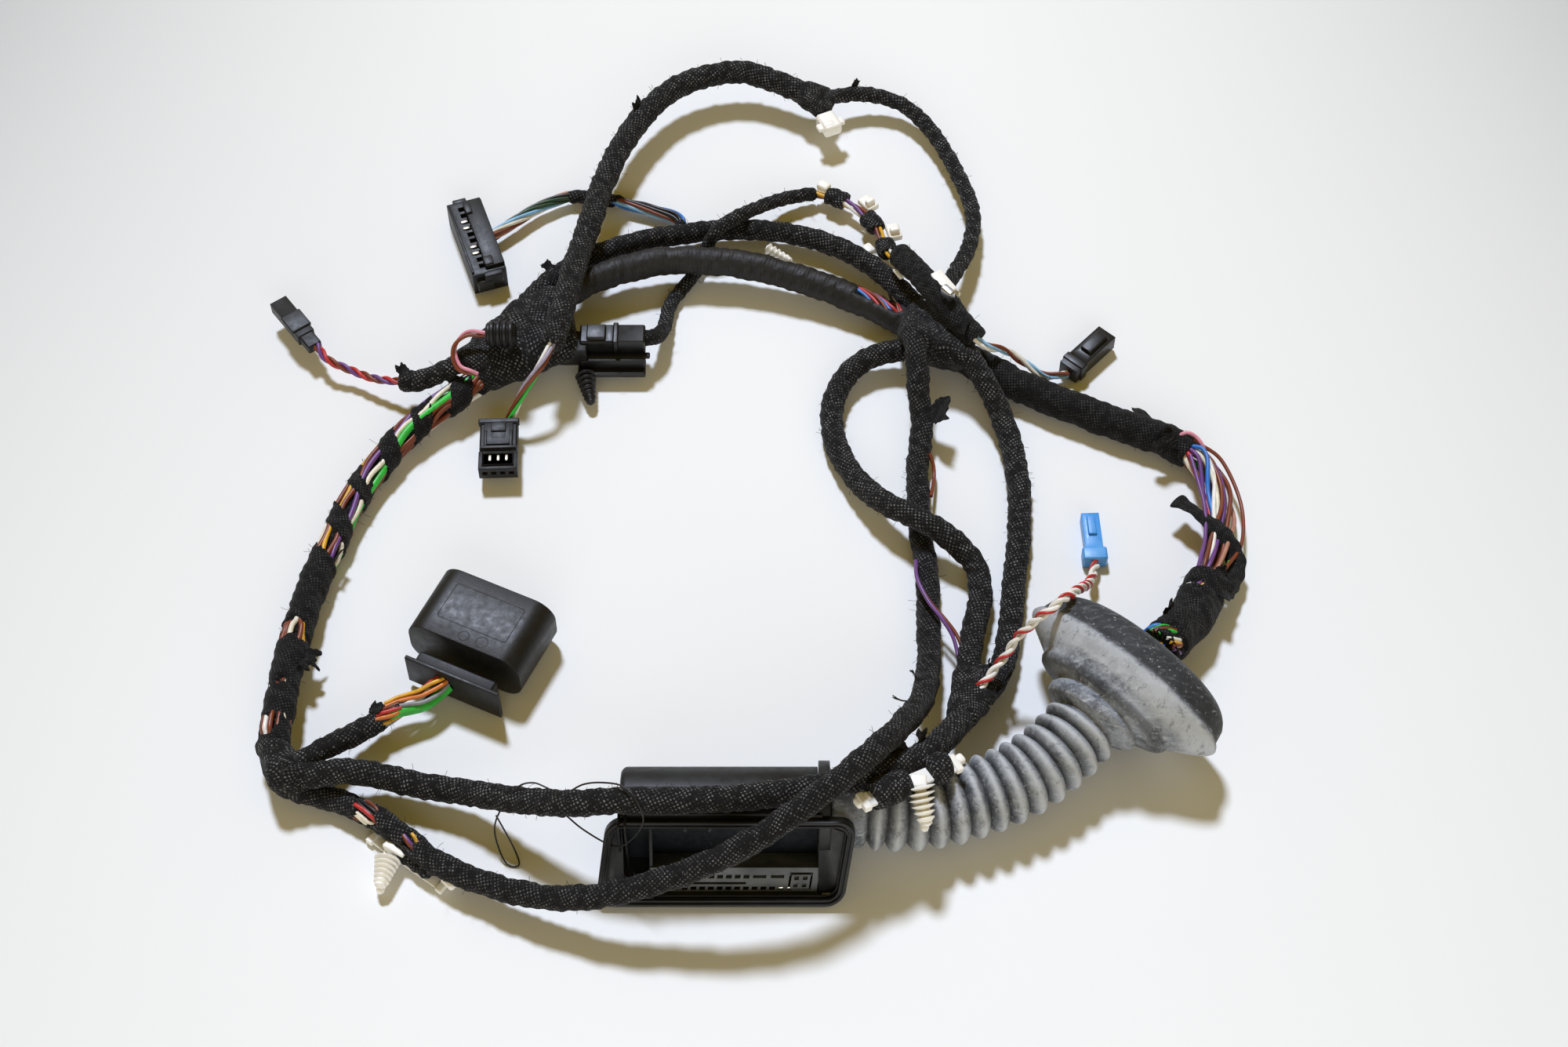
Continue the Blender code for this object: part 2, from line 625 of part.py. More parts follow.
add_wrap("right_wrap", [
    (arc_trunk_route, 0.010, True, arc_trunk_diameter),
    (right_trunk_route, 0.010, False, right_trunk_diameter),
    (left_fork_route, 0.014, True, fork_branch_diameter),
    (right_fork_route, 0.006, True, fork_branch_diameter),
    (rear_branch_route, 0.008, True, rear_branch_diameter),
    (lower_branch_route, 0.010, True, lower_branch_diameter),
], cloth_tape)
add_tube("right_trunk", right_trunk_route, right_trunk_diameter, smooth_tape,
         start=0.010 + tape_gap)
add_wrap("fork_wrap", [
    (upper_branch_route, fork_reach, True, upper_branch_diameter),
    (left_fork_route, 0.014, False, fork_branch_diameter),
    (right_fork_route, 0.016, False, fork_branch_diameter),
], cloth_tape)
add_tube("left_fork", left_fork_route, fork_branch_diameter, cloth_tape,
         start=0.014 + tape_gap, end=0.014 + tape_gap)
add_tube("right_fork", right_fork_route, fork_branch_diameter, cloth_tape,
         start=0.016 + tape_gap, end=0.006 + tape_gap)

# Fork of the upper loop, with a short taped stub that holds a clip
loop_stub_route = [(0.0420, 0.1970, 0.0140), (0.0450, 0.1900, 0.0135), (0.0470, 0.1850, 0.0130)]
add_wrap("loop_wrap", [
    (loop_route, 0.006, True, loop_diameter),
    (thin_loop_route, 0.008, False, thin_loop_diameter),
    (loop_stub_route, 0.010, False, thin_loop_diameter),
], cloth_tape)
add_tube("thin_loop", thin_loop_route, thin_loop_diameter, cloth_tape, start=0.008 + tape_gap)

# Small branches and bare wires
add_tube("small_branch", small_branch_route, small_branch_diameter, cloth_tape)
add_tube("comb_branch", comb_branch_route, comb_branch_diameter, cloth_tape, start=tape_gap)
add_tube("three_wires", three_wires_route, three_wire_diameter, brown_wire, end=0.0009,
         sides=2)
add_tube("comb_wires", comb_wires_route, comb_wires_diameter, mixed_wires, start=0.0015,
         end=tape_gap, sides=2)
add_tube("four_wires", four_wires_route, three_wire_diameter, green_wire, start=tape_gap,
         end=0.0012, sides=2)
add_tube("oval_wires", oval_wires_route, plug_wires_diameter, mixed_wires, start=0.0015,
         sides=2)
add_tube("right_pair", right_pair_route, pair_diameter, white_wire, sides=2)
add_tube("blue_pair", blue_pair_route, pair_diameter, white_wire, sides=2)
add_tube("plug_wire", plug_wire_route, pair_diameter, brown_wire, sides=2)
add_tube("loose_wires", loose_group_route, loose_group_diameter, mixed_wires,
         start=tape_gap, end=clearance)
add_tube("loose_brown_wire", loose_brown_route, wire_diameter, brown_wire, sides=2, spacing=3.0)
add_tube("loose_violet_wire", loose_violet_route, wire_diameter, violet_wire, sides=2,
         spacing=3.0)
add_tube("taped_sleeve", sleeve_route, sleeve_diameter, cloth_tape, spacing=0.6)
add_tube("inner_bundle", inner_bundle_route, inner_bundle_diameter, cloth_tape, start=0.0009)
add_tube("row_wires", row_wires_route, row_wires_diameter, mixed_wires, sides=2)
for wrap_name, tube_names in {
    "corner_wrap": ("left_trunk", "connector_branch", "upper_branch", "lower_branch"),
    "centre_wrap": ("left_trunk", "arc_trunk", "left_stub", "rear_branch"),
    "right_wrap": ("arc_trunk", "right_trunk", "left_fork", "right_fork", "rear_branch",
                   "lower_branch"),
    "fork_wrap": ("upper_branch", "left_fork", "right_fork"),
    "loop_wrap": ("loop_branch", "thin_loop"),
}.items():
    for tube_name in tube_names:
        cut_socket(bpy.data.objects[wrap_name], bpy.data.objects[tube_name])


# Door connector: a housing with a slanted mouth, a round rear cover and its inserts
housing = add_frame("housing_frame", (*housing_front, 0.0))
mouth_up = Vector((0.0, math.sin(mouth_tilt), math.cos(mouth_tilt)))
mouth_out = Vector((0.0, -math.cos(mouth_tilt), math.sin(mouth_tilt)))
mouth_base = Vector((0.0, 0.0, lip_foot + lip_depth * math.sin(mouth_tilt)))


def on_mouth(up, out):
    """Y and Z of a point on the mouth's own plane, or that far in front of it."""
    point = mouth_base + mouth_up * up + mouth_out * out
    return point.y, point.z


def cover_section(inset):
    """Half-round rear of the housing, open at the front."""
    front = body_depth + clearance
    top = rear_axis_height + rear_radius - inset
    low = housing_floor + inset
    steps = 8
    points = [(front, low)]
    for step in range(steps + 1):
        angle = math.pi * (step / steps - 0.5)
        middle = (top + low) / 2
        points.append((rear_axis_back + (rear_radius - inset) * math.cos(angle),
                       middle + (top - low) / 2 * math.sin(angle)))
    points.append((front, top))
    return points


def tall_lip(low, high, out_low, out_high, left, right, lean):
    """A straight frame bar or opening between two depths of the mouth."""
    bm = bmesh.new()
    corners = []
    for up, shift in ((low, -lean), (high, lean)):
        for x in (left + shift, right + shift):
            for out in (out_low, out_high):
                y, z = on_mouth(up, out)
                corners.append(bm.verts.new((x, y, z)))
    bmesh.ops.convex_hull(bm, input=corners)
    return bm


body_top = rear_axis_height + rear_radius
bottom_front = on_mouth(0.002, -lip_depth / 2)
top_front = on_mouth(mouth_height - 0.002, -lip_depth / 2)
body = add_piece("housing_body", prism([
    (bottom_front[0], housing_floor), (body_depth, housing_floor), (body_depth, body_top),
    (top_front[0], top_front[1]),
], body_left, body_right), slate_plastic, housing)
half_mouth = mouth_width / 2
lip = add_piece("lip_bar", tall_lip(0.0, mouth_height, -lip_depth, 0.0, -half_mouth,
                                    half_mouth, mouth_skew / 2), slate_plastic, housing)
soften = lip.modifiers.new("soft corners", "BEVEL")
soften.width = 0.0016
soften.segments = 2
soften.limit_method = "ANGLE"
combine(body, lip, "UNION")
floor_height = housing_floor + housing_wall
sill_back = on_mouth(lip_width, 0.0003 - lip_depth)
lintel_back = on_mouth(mouth_height - lip_width, 0.0003 - lip_depth)
cavity = add_piece("cavity", prism([
    (sill_back[0], floor_height), (body_depth + 0.002, floor_height),
    (body_depth + 0.002, body_top - housing_wall), lintel_back,
], body_left + housing_wall, body_right - housing_wall), slate_plastic, housing)
combine(body, cavity, "DIFFERENCE")
opening = add_piece("mouth_opening", tall_lip(
    lip_width, mouth_height - lip_width, -0.0060, 0.002,
    -half_mouth + lip_width, half_mouth - lip_width, mouth_skew / 2), slate_plastic, housing)
combine(body, opening, "DIFFERENCE")

cover = add_piece("housing_cover", prism(cover_section(0.0), body_left, body_right),
                  slate_plastic, housing)
spigot_place = (body_right, rear_axis_back, rear_axis_height)
collar_place = (body_right, rear_axis_back, rear_axis_height + collar_rise)
collar = add_piece("cover_collar", turned(
    [(clearance, collar_radius), (collar_length, collar_radius)], 24),
    slate_plastic, housing, collar_place)
combine(cover, collar, "UNION")
spigot = add_piece("spigot", turned(
    [(-0.0015, spigot_radius), (collar_length + spigot_length, spigot_radius)], 20),
    slate_plastic, housing, spigot_place)
combine(cover, spigot, "UNION")
hollow = add_piece("cover_hollow", prism(
    [(body_depth - 0.001, floor_height)] + cover_section(housing_wall)[1:-1]
    + [(body_depth - 0.001, body_top - housing_wall)],
    body_left + housing_wall, body_right - housing_wall), slate_plastic, housing)
combine(cover, hollow, "DIFFERENCE")
bore = add_piece("spigot_bore", turned(
    [(-0.006, spigot_radius - spigot_wall),
     (collar_length + spigot_length + 0.002, spigot_radius - spigot_wall)], 20),
    slate_plastic, housing, spigot_place)
combine(cover, bore, "DIFFERENCE")
notch = add_piece("collar_notch", turned(
    [(-0.0020, spigot_radius + clearance + collar_rise),
     (0.0, spigot_radius + clearance + collar_rise),
     (0.0, collar_radius + clearance), (0.014, collar_radius + clearance)], 24),
    slate_plastic, housing, collar_place)
combine(body, notch, "DIFFERENCE")

# Block of small square contacts, its face parallel with the mouth
block_floor = floor_height + clearance
block_low = (block_floor - mouth_base.z + block_recess * math.sin(mouth_tilt)) / math.cos(
    mouth_tilt)
face_centre = block_low + block_height / 2
block_width = block_right - block_left
pin_columns_left = -block_width / 2 + 0.006
pins = pocket_row(pin_columns, pin_pitch, pin_row_gap / 2, pin_hole, pin_hole, pin_columns_left)
pins += pocket_row(pin_columns, pin_pitch, -pin_row_gap / 2, pin_hole, pin_hole,
                   pin_columns_left)
pins.append((-0.004, 0.0, pin_pitch * 7, 0.0012))
middle_y, middle_z = on_mouth(face_centre, -block_recess)
terminal = pocketed_block(block_width, block_height, 0.004, pins, hole_depth)
lean = Matrix.Rotation(-mouth_tilt, 4, "X")
bmesh.ops.transform(terminal, matrix=lean, verts=terminal.verts)
back_plane = body_depth - 0.0005
for vert in terminal.verts:
    if vert.co.y + middle_y > on_mouth(face_centre, -block_recess - 0.0025)[0] + (
            vert.co.z * math.tan(mouth_tilt)):
        vert.co.y = back_plane - middle_y
for vert in terminal.verts:
    vert.co.z = max(vert.co.z, block_floor - middle_z)
add_piece("terminal_block", terminal, black_plastic, housing,
          ((block_left + block_right) / 2, middle_y, middle_z))
insert_holes = [(-0.0022, 0.0022, 0.0018, 0.0018), (0.0022, 0.0022, 0.0018, 0.0018),
                (-0.0022, -0.0022, 0.0018, 0.0018), (0.0022, -0.0022, 0.0018, 0.0018)]
insert_y, insert_z = on_mouth(face_centre, four_way_depth + clearance - block_recess)
add_piece("four_way_insert",
          pocketed_block(four_way_width, four_way_height, four_way_depth, insert_holes,
                         0.0010),
          black_plastic, housing, (block_right - four_way_width / 2 - 0.0008, insert_y, insert_z),
          (-mouth_tilt, 0, 0))

# Two hooks under the mouth's upper edge, and a rib beside them
hook_top = on_mouth(mouth_height - lip_width + 0.0006, -0.0010)
for number, (hook_x, hook_drop, hook_wide) in enumerate(
        ((-0.0235, 0.0075, latch_hook_width), (-0.0120, 0.0075, latch_hook_width),
         (-0.0310, 0.0100, 0.0012))):
    hook = add_piece(f"hook_{number}", tall_lip(
        mouth_height - lip_width - hook_drop, mouth_height - lip_width + 0.0006,
        -0.0040, -0.0015, hook_x, hook_x + hook_wide, 0.0), slate_plastic, housing)
    combine(body, hook, "UNION")


# Rubber bellows, dish and grommet: outer skin, then the bore back to the start
def at_bellows(distance, half_width, half_height=None):
    return (frame_at(bellows_route, distance), half_width,
            half_width if half_height is None else half_height)


rim_place = route_length(bellows_route[:-1])
neck_place = rim_place - grommet_neck_gap
bore_radius = spigot_radius + 2 * clearance
ridge_pitch = (neck_place - bellows_collar_length - 0.001) / bellows_ridges
outer = [at_bellows(0.0, bore_radius + bellows_wall), at_bellows(0.0010, bore_radius + 0.0019),
         at_bellows(bellows_collar_length - 0.0016, bore_radius + 0.0019)]
for ridge in range(bellows_ridges):
    root = bellows_collar_length + ridge_pitch * ridge
    outer += [at_bellows(root, bellows_valley),
              at_bellows(root + ridge_pitch * 0.36, bellows_radius),
              at_bellows(root + ridge_pitch * 0.64, bellows_radius)]
outer += [
    at_bellows(neck_place, 0.0125),
    at_bellows(rim_place - 0.0205, 0.0190, 0.0170),
    at_bellows(rim_place - 0.0175, 0.0200, 0.0170),
    at_bellows(rim_place - 0.0150, 0.0185, 0.0150),
    at_bellows(rim_place - 0.0135, 0.0290, 0.0185),
    at_bellows(rim_place - 0.0105, 0.0300, 0.0192),
    at_bellows(rim_place - grommet_dish_depth, 0.0330, 0.0200),
    at_bellows(rim_place - 0.0040, 0.0405, 0.0225),
    at_bellows(rim_place, grommet_half_length, grommet_half_height),
    at_bellows(rim_place + 0.0015, grommet_half_length - 0.0015, grommet_half_height - 0.0008),
    at_bellows(rim_place + 0.0080, grommet_half_length - 0.0032, grommet_half_height - 0.0016),
    at_bellows(rim_place + grommet_bowl_depth, grommet_half_length - 0.0072,
               grommet_half_height - 0.0043),
]
bore = bellows_valley - bellows_wall
inner = [
    at_bellows(rim_place + grommet_bowl_depth, grommet_half_length - 0.0072 - grommet_wall,
               grommet_half_height - 0.0043 - grommet_wall),
    at_bellows(rim_place, grommet_half_length - 0.0070, grommet_half_height - 0.0050),
    at_bellows(rim_place - 0.0070, 0.0280, 0.0165),
    at_bellows(rim_place - 0.0110, 0.0130, 0.0120),
    at_bellows(rim_place - 0.0160, bore, bore),
]
for number in range(9, 0, -1):
    inner.append(at_bellows(
        bellows_collar_length + (neck_place - bellows_collar_length) * number / 9, bore))
inner += [at_bellows(bellows_collar_length, bore),
          at_bellows(bellows_collar_length - 0.0008, bore_radius),
          at_bellows(0.0, bore_radius)]
add_piece("bellows_grommet", ring_solid(outer + inner, ring_sides), grey_rubber)


# Small connectors. Each one's own -Y is the side that mates.
def union_piece(name, parts, finish, location, turn):
    """One moulding made of overlapping blocks, which are joined."""
    whole = add_piece(name, parts[0], finish, None, location, turn)
    for number, extra in enumerate(parts[1:]):
        combine(whole, add_piece(f"{name}_{number}", extra, finish, None, location, turn),
                "UNION")
    return whole


def turned_by(degrees):
    return (0.0, 0.0, math.radians(degrees))


oval_place = (-0.0820, -0.0760, oval_height / 2 + 0.0002)
oval_turn = turned_by(155)
oval_outline = rounded_outline(oval_width, oval_height, oval_height * 0.42, 5)
oval_shell = add_piece("oval_shell", prism(oval_outline, 0.0, oval_depth, "Y"), black_plastic,
                       None, oval_place, oval_turn)
socket_outline = rounded_outline(oval_width - 2 * oval_wall, oval_height - 2 * oval_wall,
                                 oval_height * 0.42 - oval_wall, 5)
combine(oval_shell, add_piece("oval_socket", prism(socket_outline, -0.002,
                                                   oval_depth - oval_floor, "Y"),
                              black_plastic, None, oval_place, oval_turn), "DIFFERENCE")
combine(oval_shell, add_piece("oval_recess", block(
    (0.0300, 0.0190, 0.0010), (0.0, 0.0180, oval_height / 2)), black_plastic, None, oval_place,
    oval_turn), "DIFFERENCE")
neck_width, neck_height, neck_depth = oval_neck
flange_width, flange_height, flange_depth = oval_flange
neck_start = oval_depth + clearance
union_piece("oval_carrier", [
    block((neck_width, neck_depth, neck_height), (0.0, neck_start + neck_depth / 2, -0.0010),
          0.0008),
    block((flange_width, flange_depth, flange_height),
          (0.0, neck_start + neck_depth - flange_depth / 2 + 0.0005, -0.0010)),
], black_plastic, oval_place, oval_turn)

comb_width, comb_height, comb_depth = comb_body
comb_place = (-0.1134, 0.1129, comb_height + 0.0002)
comb_slots = pocket_row(10, 0.0038, 0.0010, 0.0024, 0.0085)
comb_turn = math.radians(-70.7)
comb_body_shape = pocketed_block(comb_width, comb_depth, comb_height, comb_slots, 0.0018)
bmesh.ops.rotate(comb_body_shape, cent=(0, 0, 0), matrix=Matrix.Rotation(-math.pi / 2, 3, "X"),
                 verts=comb_body_shape.verts)
bmesh.ops.translate(comb_body_shape, vec=(0, comb_depth / 2, 0), verts=comb_body_shape.verts)
union_piece("comb_connector", [
    comb_body_shape,
    block((0.0030, 0.0070, 0.0060), (-comb_width / 2 - 0.0010, 0.0050, -0.0060), 0.0005),
    block((0.0030, 0.0070, 0.0060), (comb_width / 2 + 0.0010, 0.0050, -0.0060), 0.0005),
], black_plastic, comb_place, (0, 0, comb_turn))

width, height, depth = three_way_body
three_way_holes = pocket_row(3, 0.0023, 0.0, 0.0015, 0.0015)
union_piece("three_way_connector", [
    pocketed_block(width, height, depth, three_way_holes, 0.0025),
    block((width * 0.82, 0.0080, height * 0.80), (0.0, depth + 0.0032, 0.0), 0.0005),
    block((width + 0.0014, 0.0100, 0.0016), (0.0, depth - 0.0080, height / 2), 0.0003),
], black_plastic, (-0.1885, 0.0785, 0.0105), turned_by(-142.9))

width, height, depth = four_pin_slide
four_pin_place = (-0.0892, -0.0096, 0.0080)
four_pin_turn = turned_by(2.1)
slide_holes = pocket_row(4, 0.0036, 0.0, 0.0020, 0.0020)
add_piece("four_pin_slide", pocketed_block(width, height, depth, slide_holes, 0.0025),
          black_plastic, None, four_pin_place, four_pin_turn)
body_width, body_height, body_depth_2 = four_pin_body
slot_block = block((body_width, body_depth_2, body_height),
                   (0.0, depth + clearance + body_depth_2 / 2, 0.0), 0.0006)
union_piece("four_pin_connector", [
    slot_block,
    block((body_width + 0.0014, 0.0025, 0.0031),
          (0.0, depth + clearance + body_depth_2 - 0.0014, body_height / 2 - 0.0005), 0.0004),
    block((0.0060, 0.0090, 0.0012),
          (0.0, depth + clearance + body_depth_2 * 0.62, body_height / 2 + 0.0003), 0.0003),
], black_plastic, four_pin_place, four_pin_turn)

width, height, depth = two_way_body
right_holes = pocket_row(2, 0.0042, 0.0, 0.0024, 0.0030)
union_piece("right_connector", [
    pocketed_block(width, height, depth, right_holes, 0.0030),
    block((0.0052, 0.0120, 0.0022), (0.0, 0.0090, height / 2 + 0.0006), 0.0004),
    block((width + 0.0016, 0.0040, height + 0.0010), (0.0, depth - 0.0045, 0.0), 0.0004),
], black_plastic, (0.1658, 0.0649, 0.0048), turned_by(137.1))

width, height, depth = blue_body
blue_holes = pocket_row(2, 0.0030, 0.0, 0.0016, 0.0020)
union_piece("blue_connector", [
    pocketed_block(width, height, depth, blue_holes, 0.0020),
    block((0.0100, 0.0062, height + 0.0006), (0.0, depth + 0.0026, 0.0), 0.0007),
    block((0.0034, 0.0090, 0.0014), (0.0, 0.0065, height / 2 + 0.0003), 0.0003),
], blue_plastic, (0.1523, -0.0283, 0.0036), turned_by(-177.5))

plug_ribs = [(0.0, 0.0040), (0.0008, round_plug_radius * 0.86)]
for rib in range(4):
    start = 0.0016 + 0.0026 * rib
    plug_ribs += [(start, round_plug_radius * 0.84), (start + 0.0005, round_plug_radius),
                  (start + 0.0016, round_plug_radius), (start + 0.0021, round_plug_radius * 0.84)]
plug_ribs.append((round_plug_length, round_plug_radius * 0.70))
add_piece("round_plug", turned(plug_ribs, 16), black_plastic, None, (-0.0957, 0.0457, 0.0305))

width, height, depth = coupling_body
union_piece("coupling_connector", [
    block((width, depth, height), (0.0, depth / 2, 0.0), 0.0007),
    block((width - 0.0025, 0.0080, 0.0022), (0.0, 0.0070, height / 2 + 0.0004), 0.0004),
    block((width + 0.0012, 0.0022, height + 0.0010), (0.0, depth * 0.55, 0.0), 0.0004),
], black_plastic, (-0.0580, 0.0555, 0.0146), turned_by(-90))


# Clips: a plate on the bundle, a barbed stem that pushes into the door
def along(start, end):
    """Placing matrix: local X runs from start to end, local Z as near to up as it can."""
    one = (Vector(end) - Vector(start)).normalized()
    side = Vector((0, 0, 1)).cross(one)
    side = side.normalized() if side.length > 0.05 else Vector((0, 1, 0))
    basis = Matrix((one, side, one.cross(side))).transposed().to_4x4()
    return Matrix.Translation(Vector(start)) @ basis


def barbed_clip(name, plate_from, plate_to, stem_from, stem_to, finish, foot):
    """The foot is a small block, given by its middle and its size, that joins stem and plate."""
    plate_line = along(plate_from, plate_to)
    length = (Vector(plate_to) - Vector(plate_from)).length
    plate = block((length, clip_plate_width, clip_plate_thickness), (length / 2, 0.0, 0.0))
    bmesh.ops.transform(plate, matrix=plate_line, verts=plate.verts)
    stem_length = (Vector(stem_to) - Vector(stem_from)).length
    stem = turned(tree_profile(stem_length, tree_fins, tree_radius, tree_core), 10)
    bmesh.ops.transform(stem, matrix=along(stem_from, stem_to), verts=stem.verts)
    parts = [plate, stem, block(foot[1], foot[0], 0.0004)]
    for place in (0.0010, length - 0.0010):
        tab = block((0.0030, clip_plate_width + 0.0016, clip_plate_thickness + 0.0012),
                    (place, 0.0, 0.0), 0.0003)
        bmesh.ops.transform(tab, matrix=plate_line, verts=tab.verts)
        parts.append(tab)
    return union_piece(name, parts, finish, (0, 0, 0), (0, 0, 0))


barbed_clip("left_clip", (-0.1265, -0.1730, 0.0018), (-0.0975, -0.1945, 0.0018),
            (-0.1195, -0.1850, 0.0045), (-0.1215, -0.1990, 0.0045), white_nylon,
            ((-0.1185, -0.1830, 0.0030), (0.0060, 0.0060, 0.0040)))
barbed_clip("right_clip", (0.0560, -0.1823, 0.0430), (0.0920, -0.1603, 0.0335),
            (0.0770, -0.1720, 0.0380), (0.0795, -0.1870, 0.0300), white_nylon,
            ((0.0770, -0.1715, 0.0382), (0.0060, 0.0050, 0.0050)))
carrier_length, carrier_width, carrier_height = carrier_plate
stem = turned(tree_profile(tree_length, tree_fins, tree_radius, tree_core), 10)
bmesh.ops.transform(stem, matrix=along((-0.0560, 0.0440, 0.0052), (-0.0530, 0.0290, 0.0045)),
                    verts=stem.verts)
union_piece("carrier_clip", [
    block((carrier_length, carrier_width, carrier_height), (-0.0447, 0.0470, 0.0060), 0.0005),
    stem,
], black_plastic, (0, 0, 0), (0, 0, 0))

union_piece("loop_clip", [
    block((0.0110, 0.0085, 0.0060), (0, 0, 0), 0.0010),
    block((0.0040, 0.0130, 0.0020), (0.0015, 0.0, 0.0010), 0.0004),
], white_nylon, (0.0483, 0.1820, 0.0125), turned_by(-65))


def row_clip(name, place, degrees):
    union_piece(name, [
        block((0.0085, 0.0060, 0.0030), (0, 0, 0), 0.0006),
        block((0.0026, 0.0042, 0.0044), (0.0010, 0.0, 0.0016), 0.0005),
    ], white_nylon, place, turned_by(degrees))


row_clip("row_clip_1", (0.0653, 0.1383, 0.0076), -52)
row_clip("row_clip_2", (0.0761, 0.1206, 0.0088), -76)
row_plate = block((0.0150, 0.0080, 0.0013))
add_piece("row_plate", row_plate, white_nylon, None, (0.0960, 0.0860, 0.0117), turned_by(-50))


# Turns of tape round the thin wires of the clip row
for number, place in enumerate((0.0080, 0.0300, 0.0480)):
    radius = row_wires_diameter / 2 + tape_band_wall
    rings = [(frame_at(row_wires_route, place + step * tape_band_length), radius, radius)
             for step in (-0.5, -0.15, 0.15, 0.5)]
    tape = add_piece(f"tape_band_{number + 1}", ring_solid(rings, 12, closed=False), cloth_tape)
    cut_socket(tape, bpy.data.objects["row_wires"])
row_sleeve = add_tube("row_sleeve", row_sleeve_route, row_sleeve_diameter, cloth_tape)
cut_socket(bpy.data.objects["right_wrap"], row_sleeve)
add_piece("metal_clip", block(metal_clip_size, (0, 0, 0), 0.0005), spring_steel, None,
          (0.0965, 0.0650, 0.0339), turned_by(-50))
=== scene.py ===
import math
import random

import bmesh
import bpy
import numpy as np
from mathutils import Matrix, Vector


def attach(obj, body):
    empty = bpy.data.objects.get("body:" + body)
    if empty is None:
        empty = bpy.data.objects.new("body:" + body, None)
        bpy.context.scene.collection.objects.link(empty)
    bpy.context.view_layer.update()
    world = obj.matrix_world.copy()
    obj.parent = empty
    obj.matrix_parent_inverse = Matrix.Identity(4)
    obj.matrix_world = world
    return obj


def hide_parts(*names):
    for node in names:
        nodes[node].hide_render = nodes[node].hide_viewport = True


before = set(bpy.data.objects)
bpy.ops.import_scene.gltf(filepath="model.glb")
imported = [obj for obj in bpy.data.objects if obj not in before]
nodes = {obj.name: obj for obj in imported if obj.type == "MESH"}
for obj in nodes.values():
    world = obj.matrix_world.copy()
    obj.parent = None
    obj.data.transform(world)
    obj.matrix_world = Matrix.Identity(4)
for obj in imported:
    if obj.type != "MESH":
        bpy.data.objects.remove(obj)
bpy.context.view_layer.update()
scene = bpy.context.scene
for spare in ("Cube", "Camera", "Light"):
    if spare in bpy.data.objects and spare not in nodes:
        bpy.data.objects.remove(bpy.data.objects[spare], do_unlink=True)


def meshFrom(bm, name, finish=None):
    # A mesh from a finished bmesh, with its material
    mesh = bpy.data.meshes.new(name)
    bm.to_mesh(mesh)
    bm.free()
    if finish:
        mesh.materials.append(finish)
    return mesh


def linked(name, data):
    # A new object in the scene
    made = bpy.data.objects.new(name, data)
    scene.collection.objects.link(made)
    return made


# Camera, floor and light

cameraSetup = {"aim": (0.028, -0.029, 0.0), "distance": 1.067, "elevation": 55.0, "lens": 60.0,
               "sensor": 36.0}
# the floor's colours, and how far painted shade darkens it towards its sides and back corners
floorSetup = {"size": 7.0, "colour": "#f3f3f1", "patch": "#eff0ef", "halfWidth": 0.36, "brightest": 0.035,
              "back": 0.30, "depth": 0.62, "cornerFalloffShade": 0.22, "sideFalloffShade": 0.13, "sideCap": 1.3, "backCap": 1.1}
lightSetup = {"sunColour": (0.846, 0.932, 1.127), "sunEnergy": 2.95, "sunAngle": 8.0,
              "sunFrom": (-0.17, 0.66, 1.12), "ambientColour": (0.2555, 0.1827, 0.0330),
              "fillColour": (0.96, 0.99, 1.04), "fillEnergy": 1.5, "fillAngle": 60.0,
              "fillFrom": (0.1, -1.0, 0.2), "seenColour": (0.93, 0.95, 0.97)}

scene.render.resolution_x = 2000
scene.render.resolution_y = 1335
scene.render.resolution_percentage = 100
scene.view_settings.view_transform = "Standard"
scene.view_settings.look = "None"

lens = bpy.data.cameras.new("photo_camera")
lens.lens = cameraSetup["lens"]
lens.sensor_width = cameraSetup["sensor"]
lens.clip_start = 0.01
camera = linked("photo_camera", lens)
rise = math.radians(cameraSetup["elevation"])
camera.location = Vector(cameraSetup["aim"]) + cameraSetup["distance"] * Vector(
    (0.0, -math.cos(rise), math.sin(rise)))
camera.rotation_euler = (math.pi / 2 - rise, 0.0, 0.0)
scene.camera = camera


def linearColour(text):
    # Linear colour of an sRGB hex value
    parts = [int(text[k:k + 2], 16) / 255 for k in (1, 3, 5)]
    return (*(p / 12.92 if p <= 0.04045 else ((p + 0.055) / 1.055) ** 2.4 for p in parts), 1.0)


def addNode(tree, kind, settings=None, links=None):
    # A node with its settings (attributes or socket values) and its links (socket: source socket)
    node = tree.nodes.new(kind)
    for key, value in (settings or {}).items():
        if isinstance(key, int) or key in node.inputs:
            node.inputs[key].default_value = value
        else:
            setattr(node, key, value)
    for key, source in (links or {}).items():
        tree.links.new(source, node.inputs[key])
    return node


def newMaterial(name):
    made = bpy.data.materials.new(name)
    made.use_nodes = True
    made.node_tree.nodes.clear()
    return made, made.node_tree


def ramp(tree, source, stops):
    # Colour ramp through stops of place and colour
    node = addNode(tree, "ShaderNodeValToRGB", links={"Fac": source})
    marks = node.color_ramp.elements
    while len(marks) < len(stops):
        marks.new(0.5)
    for mark, (place, colour) in zip(marks, stops):
        mark.position = place
        mark.color = linearColour(colour) if isinstance(colour, str) else (colour,) * 3 + (1.0,)
    return node.outputs["Color"]


def finishMaterial(tree, shaderSettings, shaderLinks):
    shader = addNode(tree, "ShaderNodeBsdfPrincipled", shaderSettings, shaderLinks)
    addNode(tree, "ShaderNodeOutputMaterial", links={"Surface": shader.outputs["BSDF"]})


def objectPlace(tree, scale=(1.0, 1.0, 1.0)):
    # Object coordinates in units of the given size in metres
    place = addNode(tree, "ShaderNodeTexCoord")
    return addNode(tree, "ShaderNodeMapping", {"Scale": tuple(1.0 / s for s in scale)},
                   {"Vector": place.outputs["Object"]}).outputs["Vector"]


